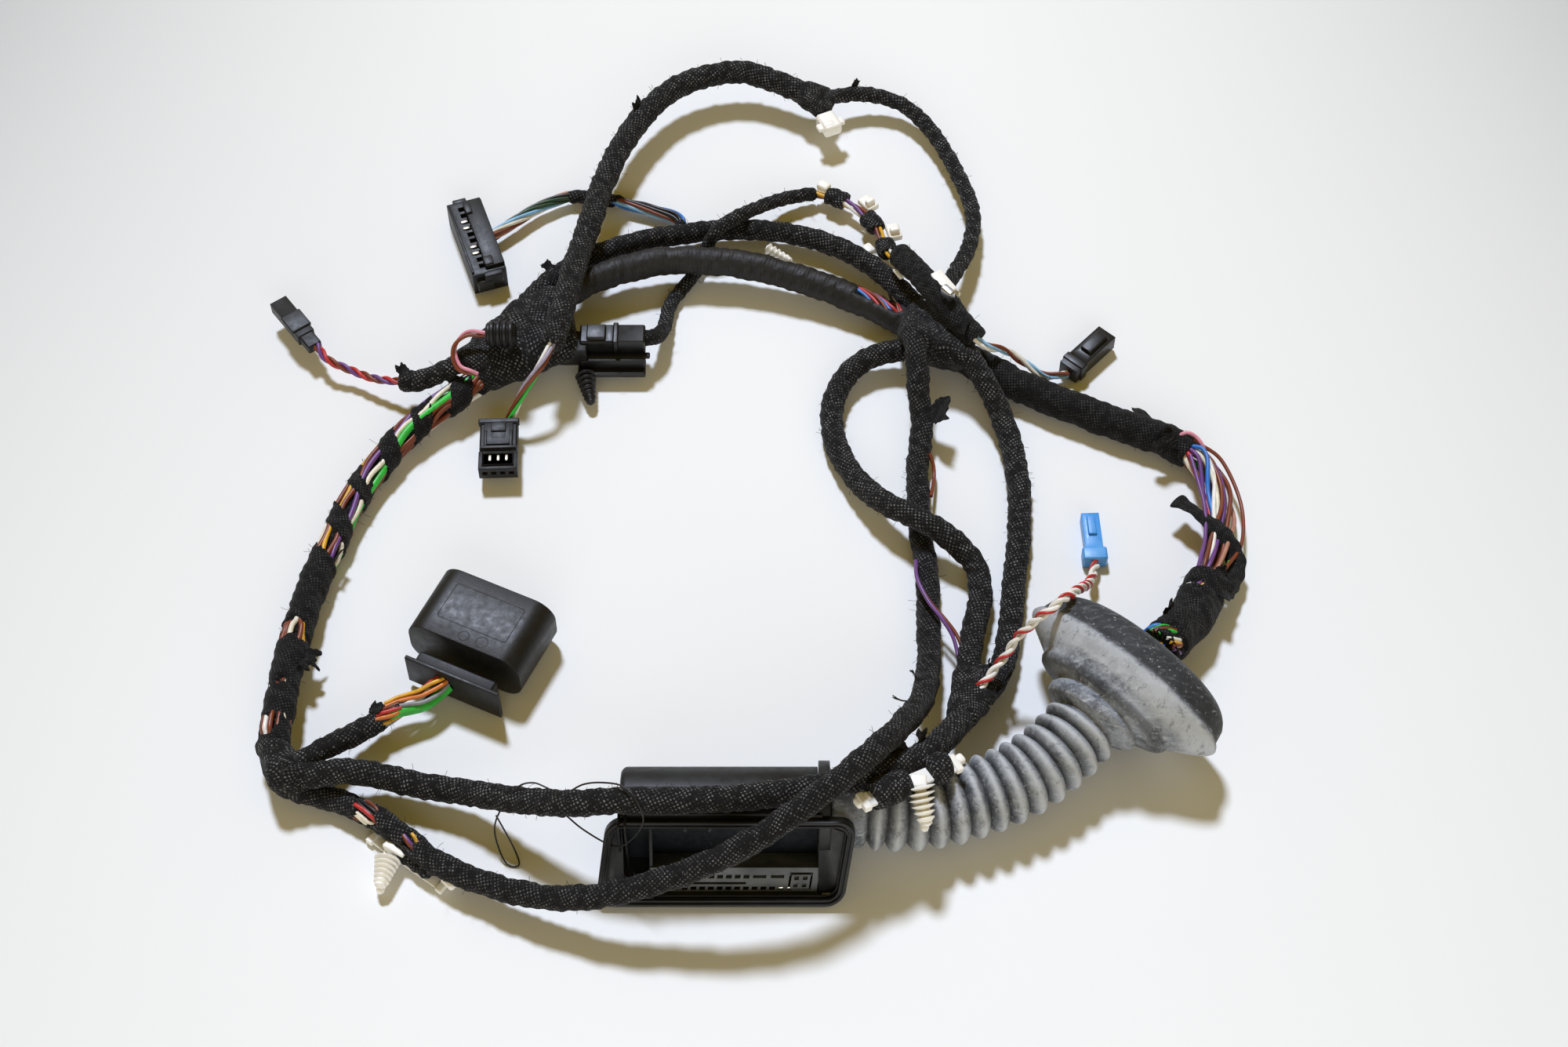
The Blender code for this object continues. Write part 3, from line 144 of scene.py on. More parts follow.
def noiseAt(tree, size, detail=3.0, roughness=0.55, vector=None):
    place = vector or objectPlace(tree, (size, size, size))
    return addNode(tree, "ShaderNodeTexNoise", {"Scale": 1.0, "Detail": detail,
                   "Roughness": roughness}, {"Vector": place}).outputs["Fac"]


def bumpOf(tree, height, distance, strength=1.0, normal=None):
    links = {"Height": height}
    if normal:
        links["Normal"] = normal
    return addNode(tree, "ShaderNodeBump", {"Distance": distance, "Strength": strength},
                   links).outputs["Normal"]


def mixColours(tree, factor, first, second, blend="MIX"):
    node = addNode(tree, "ShaderNodeMix", {"data_type": "RGBA", "blend_type": blend})
    for socket, value in ((0, factor), (6, first), (7, second)):
        if isinstance(value, bpy.types.NodeSocket):
            tree.links.new(value, node.inputs[socket])
        else:
            node.inputs[socket].default_value = linearColour(value) if isinstance(value, str) else value
    return node.outputs[2]


def mathOf(tree, operation, first, second=0.0, third=0.0):
    node = addNode(tree, "ShaderNodeMath", {"operation": operation})
    for socket, value in enumerate((first, second, third)):
        if isinstance(value, bpy.types.NodeSocket):
            tree.links.new(value, node.inputs[socket])
        else:
            node.inputs[socket].default_value = value
    return node.outputs[0]


# Smooth, almost white table top, with painted shade that darkens it towards the sides and the back corners
floorMaterial, tree = newMaterial("table_top")
floorTint = mixColours(tree, noiseAt(tree, 0.35, 2.0), floorSetup["colour"], floorSetup["patch"])
spread = addNode(tree, "ShaderNodeSeparateXYZ", links={
    "Vector": addNode(tree, "ShaderNodeTexCoord").outputs["Object"]})
across = mathOf(tree, "MULTIPLY_ADD", spread.outputs["X"], 1 / floorSetup["halfWidth"],
                -floorSetup["brightest"] / floorSetup["halfWidth"])
across = mathOf(tree, "MINIMUM", mathOf(tree, "MULTIPLY", across, across), floorSetup["sideCap"])
backward = mathOf(tree, "MULTIPLY_ADD", spread.outputs["Y"], 1 / floorSetup["depth"],
                  1 - floorSetup["back"] / floorSetup["depth"])
backward = mathOf(tree, "MAXIMUM", mathOf(tree, "MINIMUM", backward, floorSetup["backCap"]), 0.0)
corner = mathOf(tree, "MULTIPLY", across, mathOf(tree, "MULTIPLY", backward, backward))
# painted shade: the floor darker towards the sides and most in the back corners
floorFalloffShade = mathOf(tree, "MULTIPLY_ADD", corner, floorSetup["cornerFalloffShade"],
             mathOf(tree, "MULTIPLY", across, floorSetup["sideFalloffShade"]))
floorTint = mixColours(tree, floorFalloffShade, floorTint, "#000000")
finishMaterial(tree, {"Roughness": 0.62, "Specular IOR Level": 0.25}, {"Base Color": floorTint})
bm = bmesh.new()
bmesh.ops.create_grid(bm, x_segments=1, y_segments=1, size=floorSetup["size"] / 2)
floor = linked("table_top", meshFrom(bm, "table_top", floorMaterial))

# the window behind the table, and a soft light from the camera's side
for kind in ("sun", "fill"):
    lamp = bpy.data.lights.new(kind + "_light", "SUN")
    lamp.energy = lightSetup[kind + "Energy"]
    lamp.color = lightSetup[kind + "Colour"]
    lamp.angle = math.radians(lightSetup[kind + "Angle"])
    lampObject = linked(kind + "_light", lamp)
    lampObject.rotation_euler = Vector(lightSetup[kind + "From"]).to_track_quat("Z", "Y").to_euler()

world = bpy.data.worlds.new("studio")
scene.world = world
world.use_nodes = True
tree = world.node_tree
tree.nodes.clear()
ray = addNode(tree, "ShaderNodeLightPath")
shades = [addNode(tree, "ShaderNodeBackground",
                  {"Color": (*lightSetup[key], 1.0), "Strength": 1.0}).outputs[0]
          for key in ("ambientColour", "seenColour")]
both = addNode(tree, "ShaderNodeMixShader", {}, {0: ray.outputs["Is Camera Ray"], 1: shades[0], 2: shades[1]})
addNode(tree, "ShaderNodeOutputWorld", links={"Surface": both.outputs[0]})
print("camera and light made")


# Materials

def patches(tree, size, detail, roughness, low, high, most=1.0, least=0.0):
    # A noise of the given size, from least to most between two of its levels
    return ramp(tree, noiseAt(tree, size, detail, roughness), ((low, least), (high, most)))


def attributeOf(tree, name):
    return addNode(tree, "ShaderNodeAttribute", {"attribute_name": name}).outputs["Fac"]


def layered(tree, base, layers):
    # Colours laid over a base, each with its own factor
    for factor, colour in layers:
        base = mixColours(tree, factor, base, colour)
    return base


def fleeceTape(name, dark, light, speck, threadHighlight, threadHighlightShare, weaveSize=0.0021):
    # Matt cloth or fleece tape: fine crossed threads with a painted highlight on their crests, fibres and
    # pale lint
    made, tree = newMaterial(name)
    spots = addNode(tree, "ShaderNodeTexVoronoi", {"Scale": 1.0, "Randomness": 1.0},
                    {"Vector": objectPlace(tree, (0.0013, 0.0013, 0.0013))})
    lint = mathOf(tree, "MULTIPLY", ramp(tree, spots.outputs["Distance"], ((0.10, 1.0), (0.17, 0.0))),
                  patches(tree, 0.0028, 2.0, 0.55, 0.52, 0.62, 0.75))
    # the real threads are about 1.1 mm apart: drawn coarser, so that they show in the render
    along = attributeOf(tree, "along")
    around = attributeOf(tree, "around")
    wobble = mathOf(tree, "MULTIPLY", noiseAt(tree, 0.0035, 3.0), 4.0)
    waves = []
    for one, other, slant in ((around, along, 0.35), (along, around, -0.35)):
        skewed = mathOf(tree, "MULTIPLY_ADD", one, slant, other)
        phase = mathOf(tree, "MULTIPLY_ADD", skewed, 2 * math.pi / weaveSize, wobble)
        waves.append(mathOf(tree, "SINE", phase))
    weave = mathOf(tree, "MULTIPLY", *waves)
    # painted highlight on the crests of the threads
    threads = mathOf(tree, "MULTIPLY", ramp(tree, weave, ((0.20, 0.0), (0.75, 1.0))),
                     patches(tree, 0.0034, 4.0, 0.75, 0.44, 0.62))
    base = layered(tree, dark, ((patches(tree, 0.0009, 4.0, 0.7, 0.35, 0.75), light),
                                (patches(tree, 0.010, 3.0, 0.55, 0.35, 0.7, 0.55), light), (lint, speck),
                                (mathOf(tree, "MULTIPLY", threads, threadHighlightShare), threadHighlight)))
    height = mathOf(tree, "MULTIPLY_ADD", weave, 0.34, noiseAt(tree, 0.00045, 4.0, 0.75))
    normal = bumpOf(tree, height, 0.00030, 0.85)
    normal = bumpOf(tree, noiseAt(tree, 0.0042, 3.0, 0.6), 0.0007, 0.55, normal)
    finishMaterial(tree, {"Roughness": 0.84, "Sheen Weight": 0.05, "Sheen Roughness": 0.45,
                          "Specular IOR Level": 0.25}, {"Base Color": base, "Normal": normal})
    return made


def smoothTape(name, dark, light):
    # Smooth vinyl tape, pulled tight over the wires: fine ribs across the bundle
    made, tree = newMaterial(name)
    ribSize = 0.0016
    turns = mathOf(tree, "MULTIPLY", attributeOf(tree, "along"), 2 * math.pi / ribSize)
    ribs = mathOf(tree, "SINE", mathOf(tree, "MULTIPLY_ADD", noiseAt(tree, 0.006, 3.0), 5.0, turns))
    tone = layered(tree, dark, ((patches(tree, 0.008, 4.0, 0.55, 0.3, 0.7), light),
                                (patches(tree, 0.0006, 3.0, 0.8, 0.66, 0.78, 0.35), "#6a625a")))
    normal = bumpOf(tree, ribs, 0.00010, 0.3)
    normal = bumpOf(tree, noiseAt(tree, 0.0035, 4.0), 0.0008, 0.6, normal)
    rough = patches(tree, 0.004, 3.0, 0.55, 0.3, 0.7, 0.70, 0.52)
    finishMaterial(tree, {"Specular IOR Level": 0.42},
                   {"Base Color": tone, "Normal": normal, "Roughness": rough})
    return made


def mouldedPlastic(name, base, wearAndEdgeGlint, roughness, grain=0.00006, spec=0.5, softness=0.0):
    # Moulded plastic: faint flow marks, fine grain, rounded edges painted a little lighter, partly as wear
    # and partly as a painted highlight
    made, tree = newMaterial(name)
    rounded = addNode(tree, "ShaderNodeBevel", {"samples": 4, "Radius": 0.0003}).outputs["Normal"]
    plain = addNode(tree, "ShaderNodeNewGeometry").outputs["Normal"]
    turn = addNode(tree, "ShaderNodeVectorMath", {"operation": "DOT_PRODUCT"}, {0: rounded, 1: plain})
    # edges painted lighter, partly wear and partly a painted highlight
    edge = ramp(tree, turn.outputs["Value"], ((0.80, 0.75), (0.985, 0.0)))
    tone = layered(tree, base, ((patches(tree, 0.012, 3.0, 0.55, 0.3, 0.7, 0.35), wearAndEdgeGlint), (edge, wearAndEdgeGlint),
                                (patches(tree, 0.0016, 5.0, 0.75, 0.62, 0.74, 0.30), wearAndEdgeGlint)))
    normal = bumpOf(tree, noiseAt(tree, 0.0007, 3.0), grain, 0.7, rounded)
    rough = patches(tree, 0.003, 4.0, 0.55, 0.3, 0.7, roughness + 0.08, roughness - 0.06)
    settings = {"Specular IOR Level": spec}
    if softness:
        settings.update({"Subsurface Weight": softness, "Subsurface Radius": (0.002, 0.0016, 0.001),
                         "Subsurface Scale": 1.0})
    finishMaterial(tree, settings, {"Base Color": tone, "Normal": normal, "Roughness": rough})
    return made


def agedRubber(name, base, bloom, crackAndCreaseShade):
    # EPDM rubber with a chalky bloom and pale and dark streaks, a painted highlight on the crests and painted
    # shade in the creases
    made, tree = newMaterial(name)
    creaseShadeMask = attributeOf(tree, "crease")
    streaks = ramp(tree, noiseAt(tree, 1.0, 4.0, 0.7, objectPlace(tree, (0.0030, 0.0030, 0.0110))),
                   ((0.56, 0.0), (0.66, 0.45)))
    pale = ramp(tree, noiseAt(tree, 1.0, 4.0, 0.75, objectPlace(tree, (0.0090, 0.0022, 0.0022))),
                ((0.55, 0.0), (0.66, 0.60)))
    pale = mathOf(tree, "MULTIPLY", pale, mathOf(tree, "MULTIPLY_ADD", creaseShadeMask, -0.85, 1.0))
    tone = layered(tree, base, (
        (patches(tree, 0.017, 4.0, 0.6, 0.40, 0.60), bloom),
        (patches(tree, 0.0042, 5.0, 0.75, 0.46, 0.62, 0.8), bloom),
        # painted highlight on the crests
        (mathOf(tree, "MULTIPLY", attributeOf(tree, "crest"), 0.7), "#c3c6c9"),
        # painted shade in the creases; the same dark colour also gives real dark streaks and specks
        (creaseShadeMask, crackAndCreaseShade), (streaks, crackAndCreaseShade), (pale, "#bcc0c4"),
        (patches(tree, 0.0014, 4.0, 0.8, 0.60, 0.70, 0.35), crackAndCreaseShade),
        (patches(tree, 0.0019, 4.0, 0.85, 0.60, 0.68, 0.75), "#c6c8ca")))
    normal = bumpOf(tree, noiseAt(tree, 0.0009, 4.0, 0.7), 0.00012, 0.6)
    normal = bumpOf(tree, noiseAt(tree, 0.006, 3.0), 0.0006, 0.5, normal)
    finishMaterial(tree, {"Roughness": 0.66, "Specular IOR Level": 0.38, "Sheen Weight": 0.04,
                          "Sheen Roughness": 0.5}, {"Base Color": tone, "Normal": normal})
    return made


def wireInsulation(name, base, dirtShare):
    # PVC wire insulation: even colour with handling dirt and a soft gloss
    made, tree = newMaterial(name)
    tone = mixColours(tree, patches(tree, 0.0045, 4.0, 0.7, 0.46, 0.72, dirtShare), base, "#57493c")
    normal = bumpOf(tree, noiseAt(tree, 0.0012, 3.0), 0.00007, 0.6)
    finishMaterial(tree, {"Roughness": 0.40, "Specular IOR Level": 0.45},
                   {"Base Color": tone, "Normal": normal})
    return made


def bareMetal(name, base, roughness):
    # Tinned or spring metal with fine brushing and dull patches
    made, tree = newMaterial(name)
    brush = noiseAt(tree, 1.0, 3.0, 0.6, objectPlace(tree, (0.0002, 0.004, 0.0002)))
    tone = mixColours(tree, patches(tree, 0.002, 3.0, 0.55, 0.4, 0.7, 0.6), base, "#8d8a83")
    finishMaterial(tree, {"Metallic": 1.0, "Roughness": roughness},
                   {"Base Color": tone, "Normal": bumpOf(tree, brush, 0.00003, 0.5)})
    return made


# each tape's fourth colour and its share are the painted highlight on the thread crests
clothTape = fleeceTape("woven_cloth_tape", "#050506", "#151414", "#8b8b8b", "#a0a0a0", 0.62)
flatTape = fleeceTape("flat_fleece_tape", "#050506", "#121112", "#7f7f7f", "#969696", 0.56, 0.0020)
matTape = fleeceTape("matt_fleece_tape", "#040405", "#0d0c0d", "#6c6b6b", "#7a7a7a", 0.40, 0.0018)
vinylTape = smoothTape("smooth_vinyl_tape", "#0b0a09", "#1e1a18")
# each plastic's second colour is its wear and the painted highlight on its edges
blackNylon = mouldedPlastic("black_nylon", "#070708", "#262627", 0.47, spec=0.40)
glossBlack = mouldedPlastic("gloss_black_nylon", "#060607", "#202021", 0.40, grain=0.00003, spec=0.42)
satinBlack = mouldedPlastic("satin_black_nylon", "#121110", "#1c1b1a", 0.46, spec=0.42)
slatePlastic = mouldedPlastic("slate_polyester", "#0d0e10", "#34373a", 0.45, spec=0.42)
blockPlastic = mouldedPlastic("terminal_block_polyester", "#2b3035", "#a2a7ab", 0.46)
cavityPlastic = mouldedPlastic("cavity_polyester", "#101418", "#2b3036", 0.40)
whiteNylon = mouldedPlastic("natural_nylon", "#f8f4ea", "#fdfcf8", 0.42, softness=0.12)
bluePlastic = mouldedPlastic("blue_polyester", "#3290e0", "#8cc8f6", 0.38)
# the last colour is the cracks, the dark streaks and the painted shade in the creases
greyRubber = agedRubber("epdm_rubber", "#5c6067", "#9da1a7", "#1d1e21")
tinnedMetal = bareMetal("tinned_brass", "#d8d4c9", 0.26)
steelMetal = bareMetal("spring_steel", "#c3c4c8", 0.30)
wireColours = {"brown": "#7c3a20", "green": "#2fc23f", "yellow": "#e2ab2b", "cream": "#ece4cf",
               "violet": "#6f4488", "red": "#c23030", "blue": "#2f78cc", "pink": "#dd8fa2",
               "orange": "#d9792a", "lilac": "#a79fb4", "black": "#17171a", "sky": "#8fc3e8",
               "moss": "#27492f", "grey": "#8f9296", "white": "#f1eee6", "rose": "#b8846f"}
paleDirt = 0.26
darkDirt = 0.42
wireMaterials = {}
for name, value in wireColours.items():
    dirtShare = paleDirt if name in ("white", "cream") else darkDirt
    wireMaterials[name] = wireInsulation("pvc_wire_" + name, value, dirtShare)
print("materials made")


# Lines and tubes

def smoothLine(route, step=0.001):
    # Points one step apart on a smooth curve through a route's own points
    knots = np.array(route, float)
    knots = np.vstack([2 * knots[0] - knots[1], knots, 2 * knots[-1] - knots[-2]])
    t = np.linspace(0.0, 1.0, 12, endpoint=False)[:, None]
    spans = [0.5 * (2 * b + (c - a) * t + (2 * a - 5 * b + 4 * c - d) * t ** 2
                    + (3 * b - a - 3 * c + d) * t ** 3)
             for a, b, c, d in zip(knots, knots[1:], knots[2:], knots[3:])]
    return evenLine(np.vstack(spans + [knots[-2:-1]]), step)


def distancesOf(line):
    return np.concatenate([[0.0], np.cumsum(np.linalg.norm(np.diff(line, axis=0), axis=1))])


def evenLine(line, step, start=0.0, end=0.0):
    # The same line at even steps, shortened by a length at each end
    along = distancesOf(line)
    count = max(2, round((along[-1] - start - end) / step))
    wanted = np.linspace(start, along[-1] - end, count + 1)
    return np.stack([np.interp(wanted, along, line[:, k]) for k in range(3)], axis=1)


def lineFrames(line):
    # Side and up of each point, with up as high as it goes
    tangent = np.gradient(line, axis=0)
    tangent /= np.linalg.norm(tangent, axis=1)[:, None]
    side = np.cross(tangent, [0.0, 0.0, 1.0])
    side /= np.linalg.norm(side, axis=1)[:, None]
    return side, np.cross(side, tangent)


def evaluatedMesh(piece, finish):
    # The mesh that an object's modifiers give, in one material; the object goes
    bpy.context.view_layer.update()
    graph = bpy.context.evaluated_depsgraph_get()
    mesh = bpy.data.meshes.new_from_object(piece.evaluated_get(graph))
    bpy.data.objects.remove(piece, do_unlink=True)
    if finish:
        mesh.materials.clear()
        mesh.materials.append(finish)
    return mesh


def linesMesh(name, lines, sides, finishes):
    # One mesh of tubes: each line has its points, its radius and the number of its finish
    data = bpy.data.curves.new(name, "CURVE")
    data.dimensions = "3D"
    data.bevel_depth = 0.001
    data.bevel_resolution = sides // 2 - 2
    data.use_fill_caps = True
    data.twist_mode = "MINIMUM"
    for finish in finishes:
        data.materials.append(finish)
    for points, radius, number in lines:
        spline = data.splines.new("POLY")
        spline.points.add(len(points) - 1)
        spline.points.foreach_set("co", np.hstack([points, np.ones((len(points), 1))]).ravel())
        radii = np.broadcast_to(np.asarray(radius, float) / data.bevel_depth, (len(points),)).copy()
        spline.points.foreach_set("radius", radii)
        spline.material_index = number
        spline.use_smooth = True
    mesh = evaluatedMesh(linked(name + "_guide", data), None)
    bpy.data.curves.remove(data)
    mesh.name = name
    mesh.shade_smooth()
    return mesh


def addObject(name, mesh, replaced=(), smoothAngle=None):
    piece = linked(name, mesh)
    if smoothAngle is not None:
        mesh.shade_smooth()
        mesh.set_sharp_from_angle(angle=math.radians(smoothAngle))
    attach(piece, "root")
    if replaced:
        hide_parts(*replaced)
    return piece


def spotsOf(mesh):
    spots = np.empty(len(mesh.vertices) * 3, np.float32)
    mesh.vertices.foreach_get("co", spots)
    return spots.reshape(-1, 3)


def setFloats(mesh, **values):
    # A number for each point, which the materials read
    for name, numbers in values.items():
        target = mesh.attributes.new(name, "FLOAT", "POINT").data
        target.foreach_set("value", np.asarray(numbers, np.float32))


# top of the range of random phases, in radians
anyPhase = 6.28


def sineLumps(along, around, seed, scale):
    # Smooth unevenness of a bundle, from a few long waves along and round it
    waves = 7
    rng = np.random.default_rng(seed)
    total = np.zeros(np.broadcast(along, around).shape)
    for _ in range(waves):
        total = total + np.sin(2 * math.pi * along / rng.uniform(0.011, 0.045)
                               + rng.integers(-2, 3) * around + rng.uniform(0, anyPhase))
    return total * scale / math.sqrt(waves)


def ease(value, low, high):
    t = np.clip((value - low) / (high - low), 0.0, 1.0)
    return t * t * (3 - 2 * t)


def openShare(along, angle, number, window, seed, spiral):
    # How open the tape is at each place, from 0 to 1, for one window
    low, high, *sector = window
    edgeBlur = 0.0006
    slanted = along + 0.0026 * np.sin(angle + seed + number) + 0.0009 * np.sin(5 * angle + number)
    inside = (ease(slanted, low - edgeBlur, low + edgeBlur)
              * (1 - ease(slanted, high - edgeBlur, high + edgeBlur)))
    if sector:
        middle, half = (math.radians(value) for value in sector)
        away = np.abs((angle - middle + math.pi) % (2 * math.pi) - math.pi)
        inside = inside * (1 - ease(away, half - 0.15, half + 0.15))
    if spiral and number == 0:
        # one strip of tape goes round the wires and leaves a spiral of them open
        band = (along / spiral["pitch"] + spiral["phase"] + angle / (2 * math.pi)
                + 0.012 * np.sin(9 * angle + 40 * along)) % 1.0
        inside = inside * ease(band, spiral["share"] - 0.03, spiral["share"] + 0.03) * (
            1 - ease(band, 0.96, 1.0))
    return inside


def openWires(name, line, offset, radius, windows, colours, girth, lay, seed, spiral):
    # The wires that show in a bundle's windows
    rng = random.Random(seed)
    seat = radius - girth * 1.05
    number = max(4, int(2 * math.pi * seat / (2.05 * girth)))
    order = [colours[k % len(colours)] for k in range(number)]
    if not spiral:
        rng.shuffle(order)
    palette = sorted(set(order))
    side, up = lineFrames(line)
    distance = distancesOf(line) + offset
    lines = []
    for low, high, *_ in windows:
        chosen = (distance > low - 0.004) & (distance < high + 0.004)
        if chosen.sum() < 4:
            continue
        centre = line[chosen]
        here = distance[chosen]
        for k in range(number):
            swing = (2 * math.pi * (k / number + here / lay)
                     + 0.20 * np.sin(2 * math.pi * here / rng.uniform(0.02, 0.05) + k))
            depth = seat - 0.0005 * abs(rng.random()) * girth / 0.0008
            depth = depth - 0.0011 * (1 - ease(np.minimum(here - low, high - here), -0.002, 0.001))
            points = centre + depth[:, None] * (np.sin(swing)[:, None] * side[chosen]
                                                + np.cos(swing)[:, None] * up[chosen])
            points[:, 2] = np.maximum(points[:, 2], girth + 0.0003)
            share = 1.45 if spiral and order[k] == "green" else rng.uniform(0.90, 1.04)
            points = points - (share - 1) * girth * (points - centre) / seat
            lines.append((points, girth * share, palette.index(order[k])))
    mesh = linesMesh(name, lines, 8, [wireMaterials[colour] for colour in palette])
    addObject(name, mesh)


tubeSides = 28
# the lowest that tape lies above the table
tapeFloor = 0.00025


def tapedTube(name, line, diameter, finish, seed, node=None, pitch=0.009, ridge=0.00045, hand=1,
              windows=(), colours=(), lumps=0.03, flat=0.0, taper=0.0007, wireGirth=0.00085, lay=0.085,
              offset=0.0, spiral=None):
    # A bundle wound with tape; in its windows the tape is open and its wires show
    radius = diameter / 2
    mesh = linesMesh(name, [(line, radius, 0)], tubeSides, [finish])
    place = spotsOf(mesh).astype(float)
    # the two caps' points come first, then a ring for each point of the line
    capCount = 2 * tubeSides
    rings = place[capCount:].reshape(len(line), tubeSides, 3)
    side, up = lineFrames(line)
    spoke = rings - line[:, None]
    spoke /= np.linalg.norm(spoke, axis=2)[:, :, None]
    angle = np.arctan2((spoke * side[:, None]).sum(2), (spoke * up[:, None]).sum(2))
    along = distancesOf(line)[:, None] + offset
    turn = along / pitch + hand * angle / (2 * math.pi) + 0.37 * seed
    turn = turn + 0.10 * np.sin(2 * math.pi * along / 0.031 + seed)
    saw = turn % 1.0
    reach = radius * (1.0 + sineLumps(along, angle, seed, lumps))
    # each turn of tape climbs over the one before it, with an abrupt edge
    reach = reach + ridge * (np.minimum(saw / 0.88, (1 - saw) / 0.12) - 0.55)
    reach = reach + 0.00016 * np.sin(2 * math.pi * along / 0.0047 + 3 * angle + seed)
    reach = reach * (1.0 - flat * np.cos(angle) ** 2)
    fromEnds = np.minimum(along - offset, distancesOf(line)[-1] + offset - along)
    reach = reach - taper * (1 - ease(fromEnds, 0.0, 0.0016))
    for number, window in enumerate(windows):
        reach = reach - openShare(along, angle, number, window, seed, spiral) * (2.2 * wireGirth)
    bent = line[:, None] + spoke * reach[:, :, None]
    bent[:, :, 2] = np.maximum(bent[:, :, 2], tapeFloor)
    bent = bent.reshape(-1, 3)
    values = [bent, np.broadcast_to(along, angle.shape).reshape(-1), (angle * radius).reshape(-1)]
    # each point of a cap follows the nearest point of the ring at its end
    ends = np.vstack([rings[0], rings[-1]])
    nearest = np.linalg.norm(place[:capCount, None] - ends[None], axis=2).argmin(1)
    last = (len(line) - 1) * tubeSides
    chosen = np.where(nearest < tubeSides, nearest, nearest - tubeSides + last)
    moved, alongAll, aroundAll = (np.concatenate([value[chosen], value]) for value in values)
    mesh.vertices.foreach_set("co", moved.astype(np.float32).ravel())
    setFloats(mesh, along=alongAll, around=aroundAll)
    mesh.update()
    piece = addObject(name, mesh, (node,) if node else ())
    if windows:
        openWires(name + "_open_wires", line, offset, radius, windows, colours, wireGirth, lay, seed, spiral)
    return piece


# half the outer diameter of a thin wire
bareGirth = 0.0008


def wireGroup(name, line, wires, ring, seed, node=None, lay=0.05, wander=0.0):
    # Bare wires that run side by side, twisted a little round each other
    rng = random.Random(seed)
    side, up = lineFrames(line)
    along = distancesOf(line)
    wires = [wire if isinstance(wire, tuple) else (wire, bareGirth, ring, k / len(wires))
             for k, wire in enumerate(wires)]
    palette = sorted({wire[0] for wire in wires})
    inward = np.minimum(ease(along, -0.001, 0.006), ease(along[-1] - along, -0.001, 0.006))
    lines = []
    for colour, thick, reach, turn in wires:
        swing = 2 * math.pi * (turn + along / lay) + seed
        out = reach * np.ones(len(line))
        if wander:
            phases = [rng.uniform(0, anyPhase) for _ in range(2)]
            waves = [2 * math.pi * along / rng.uniform(*span) for span in ((0.06, 0.12), (0.05, 0.09))]
            out = out + wander * inward * (0.5 + 0.5 * np.sin(waves[0] + phases[0]))
            swing = swing + 0.35 * inward * np.sin(waves[1] + phases[1])
        points = line + out[:, None] * (np.sin(swing)[:, None] * side + np.cos(swing)[:, None] * up)
        points[:, 2] = np.maximum(points[:, 2], thick + 0.0003)
        lines.append((points, thick, palette.index(colour)))
    mesh = linesMesh(name, lines, 10, [wireMaterials[colour] for colour in palette])
    return addObject(name, mesh, (node,) if node else ())


def declareCord(line, diameter):
    # Measures a bundle's or wire's length against the least that would count as a cord, and does nothing more
    length = float(distancesOf(line)[-1])
    if length < max(0.03, 6 * diameter) * 1.02:
        return


# Routes, in metres, as in the CAD part

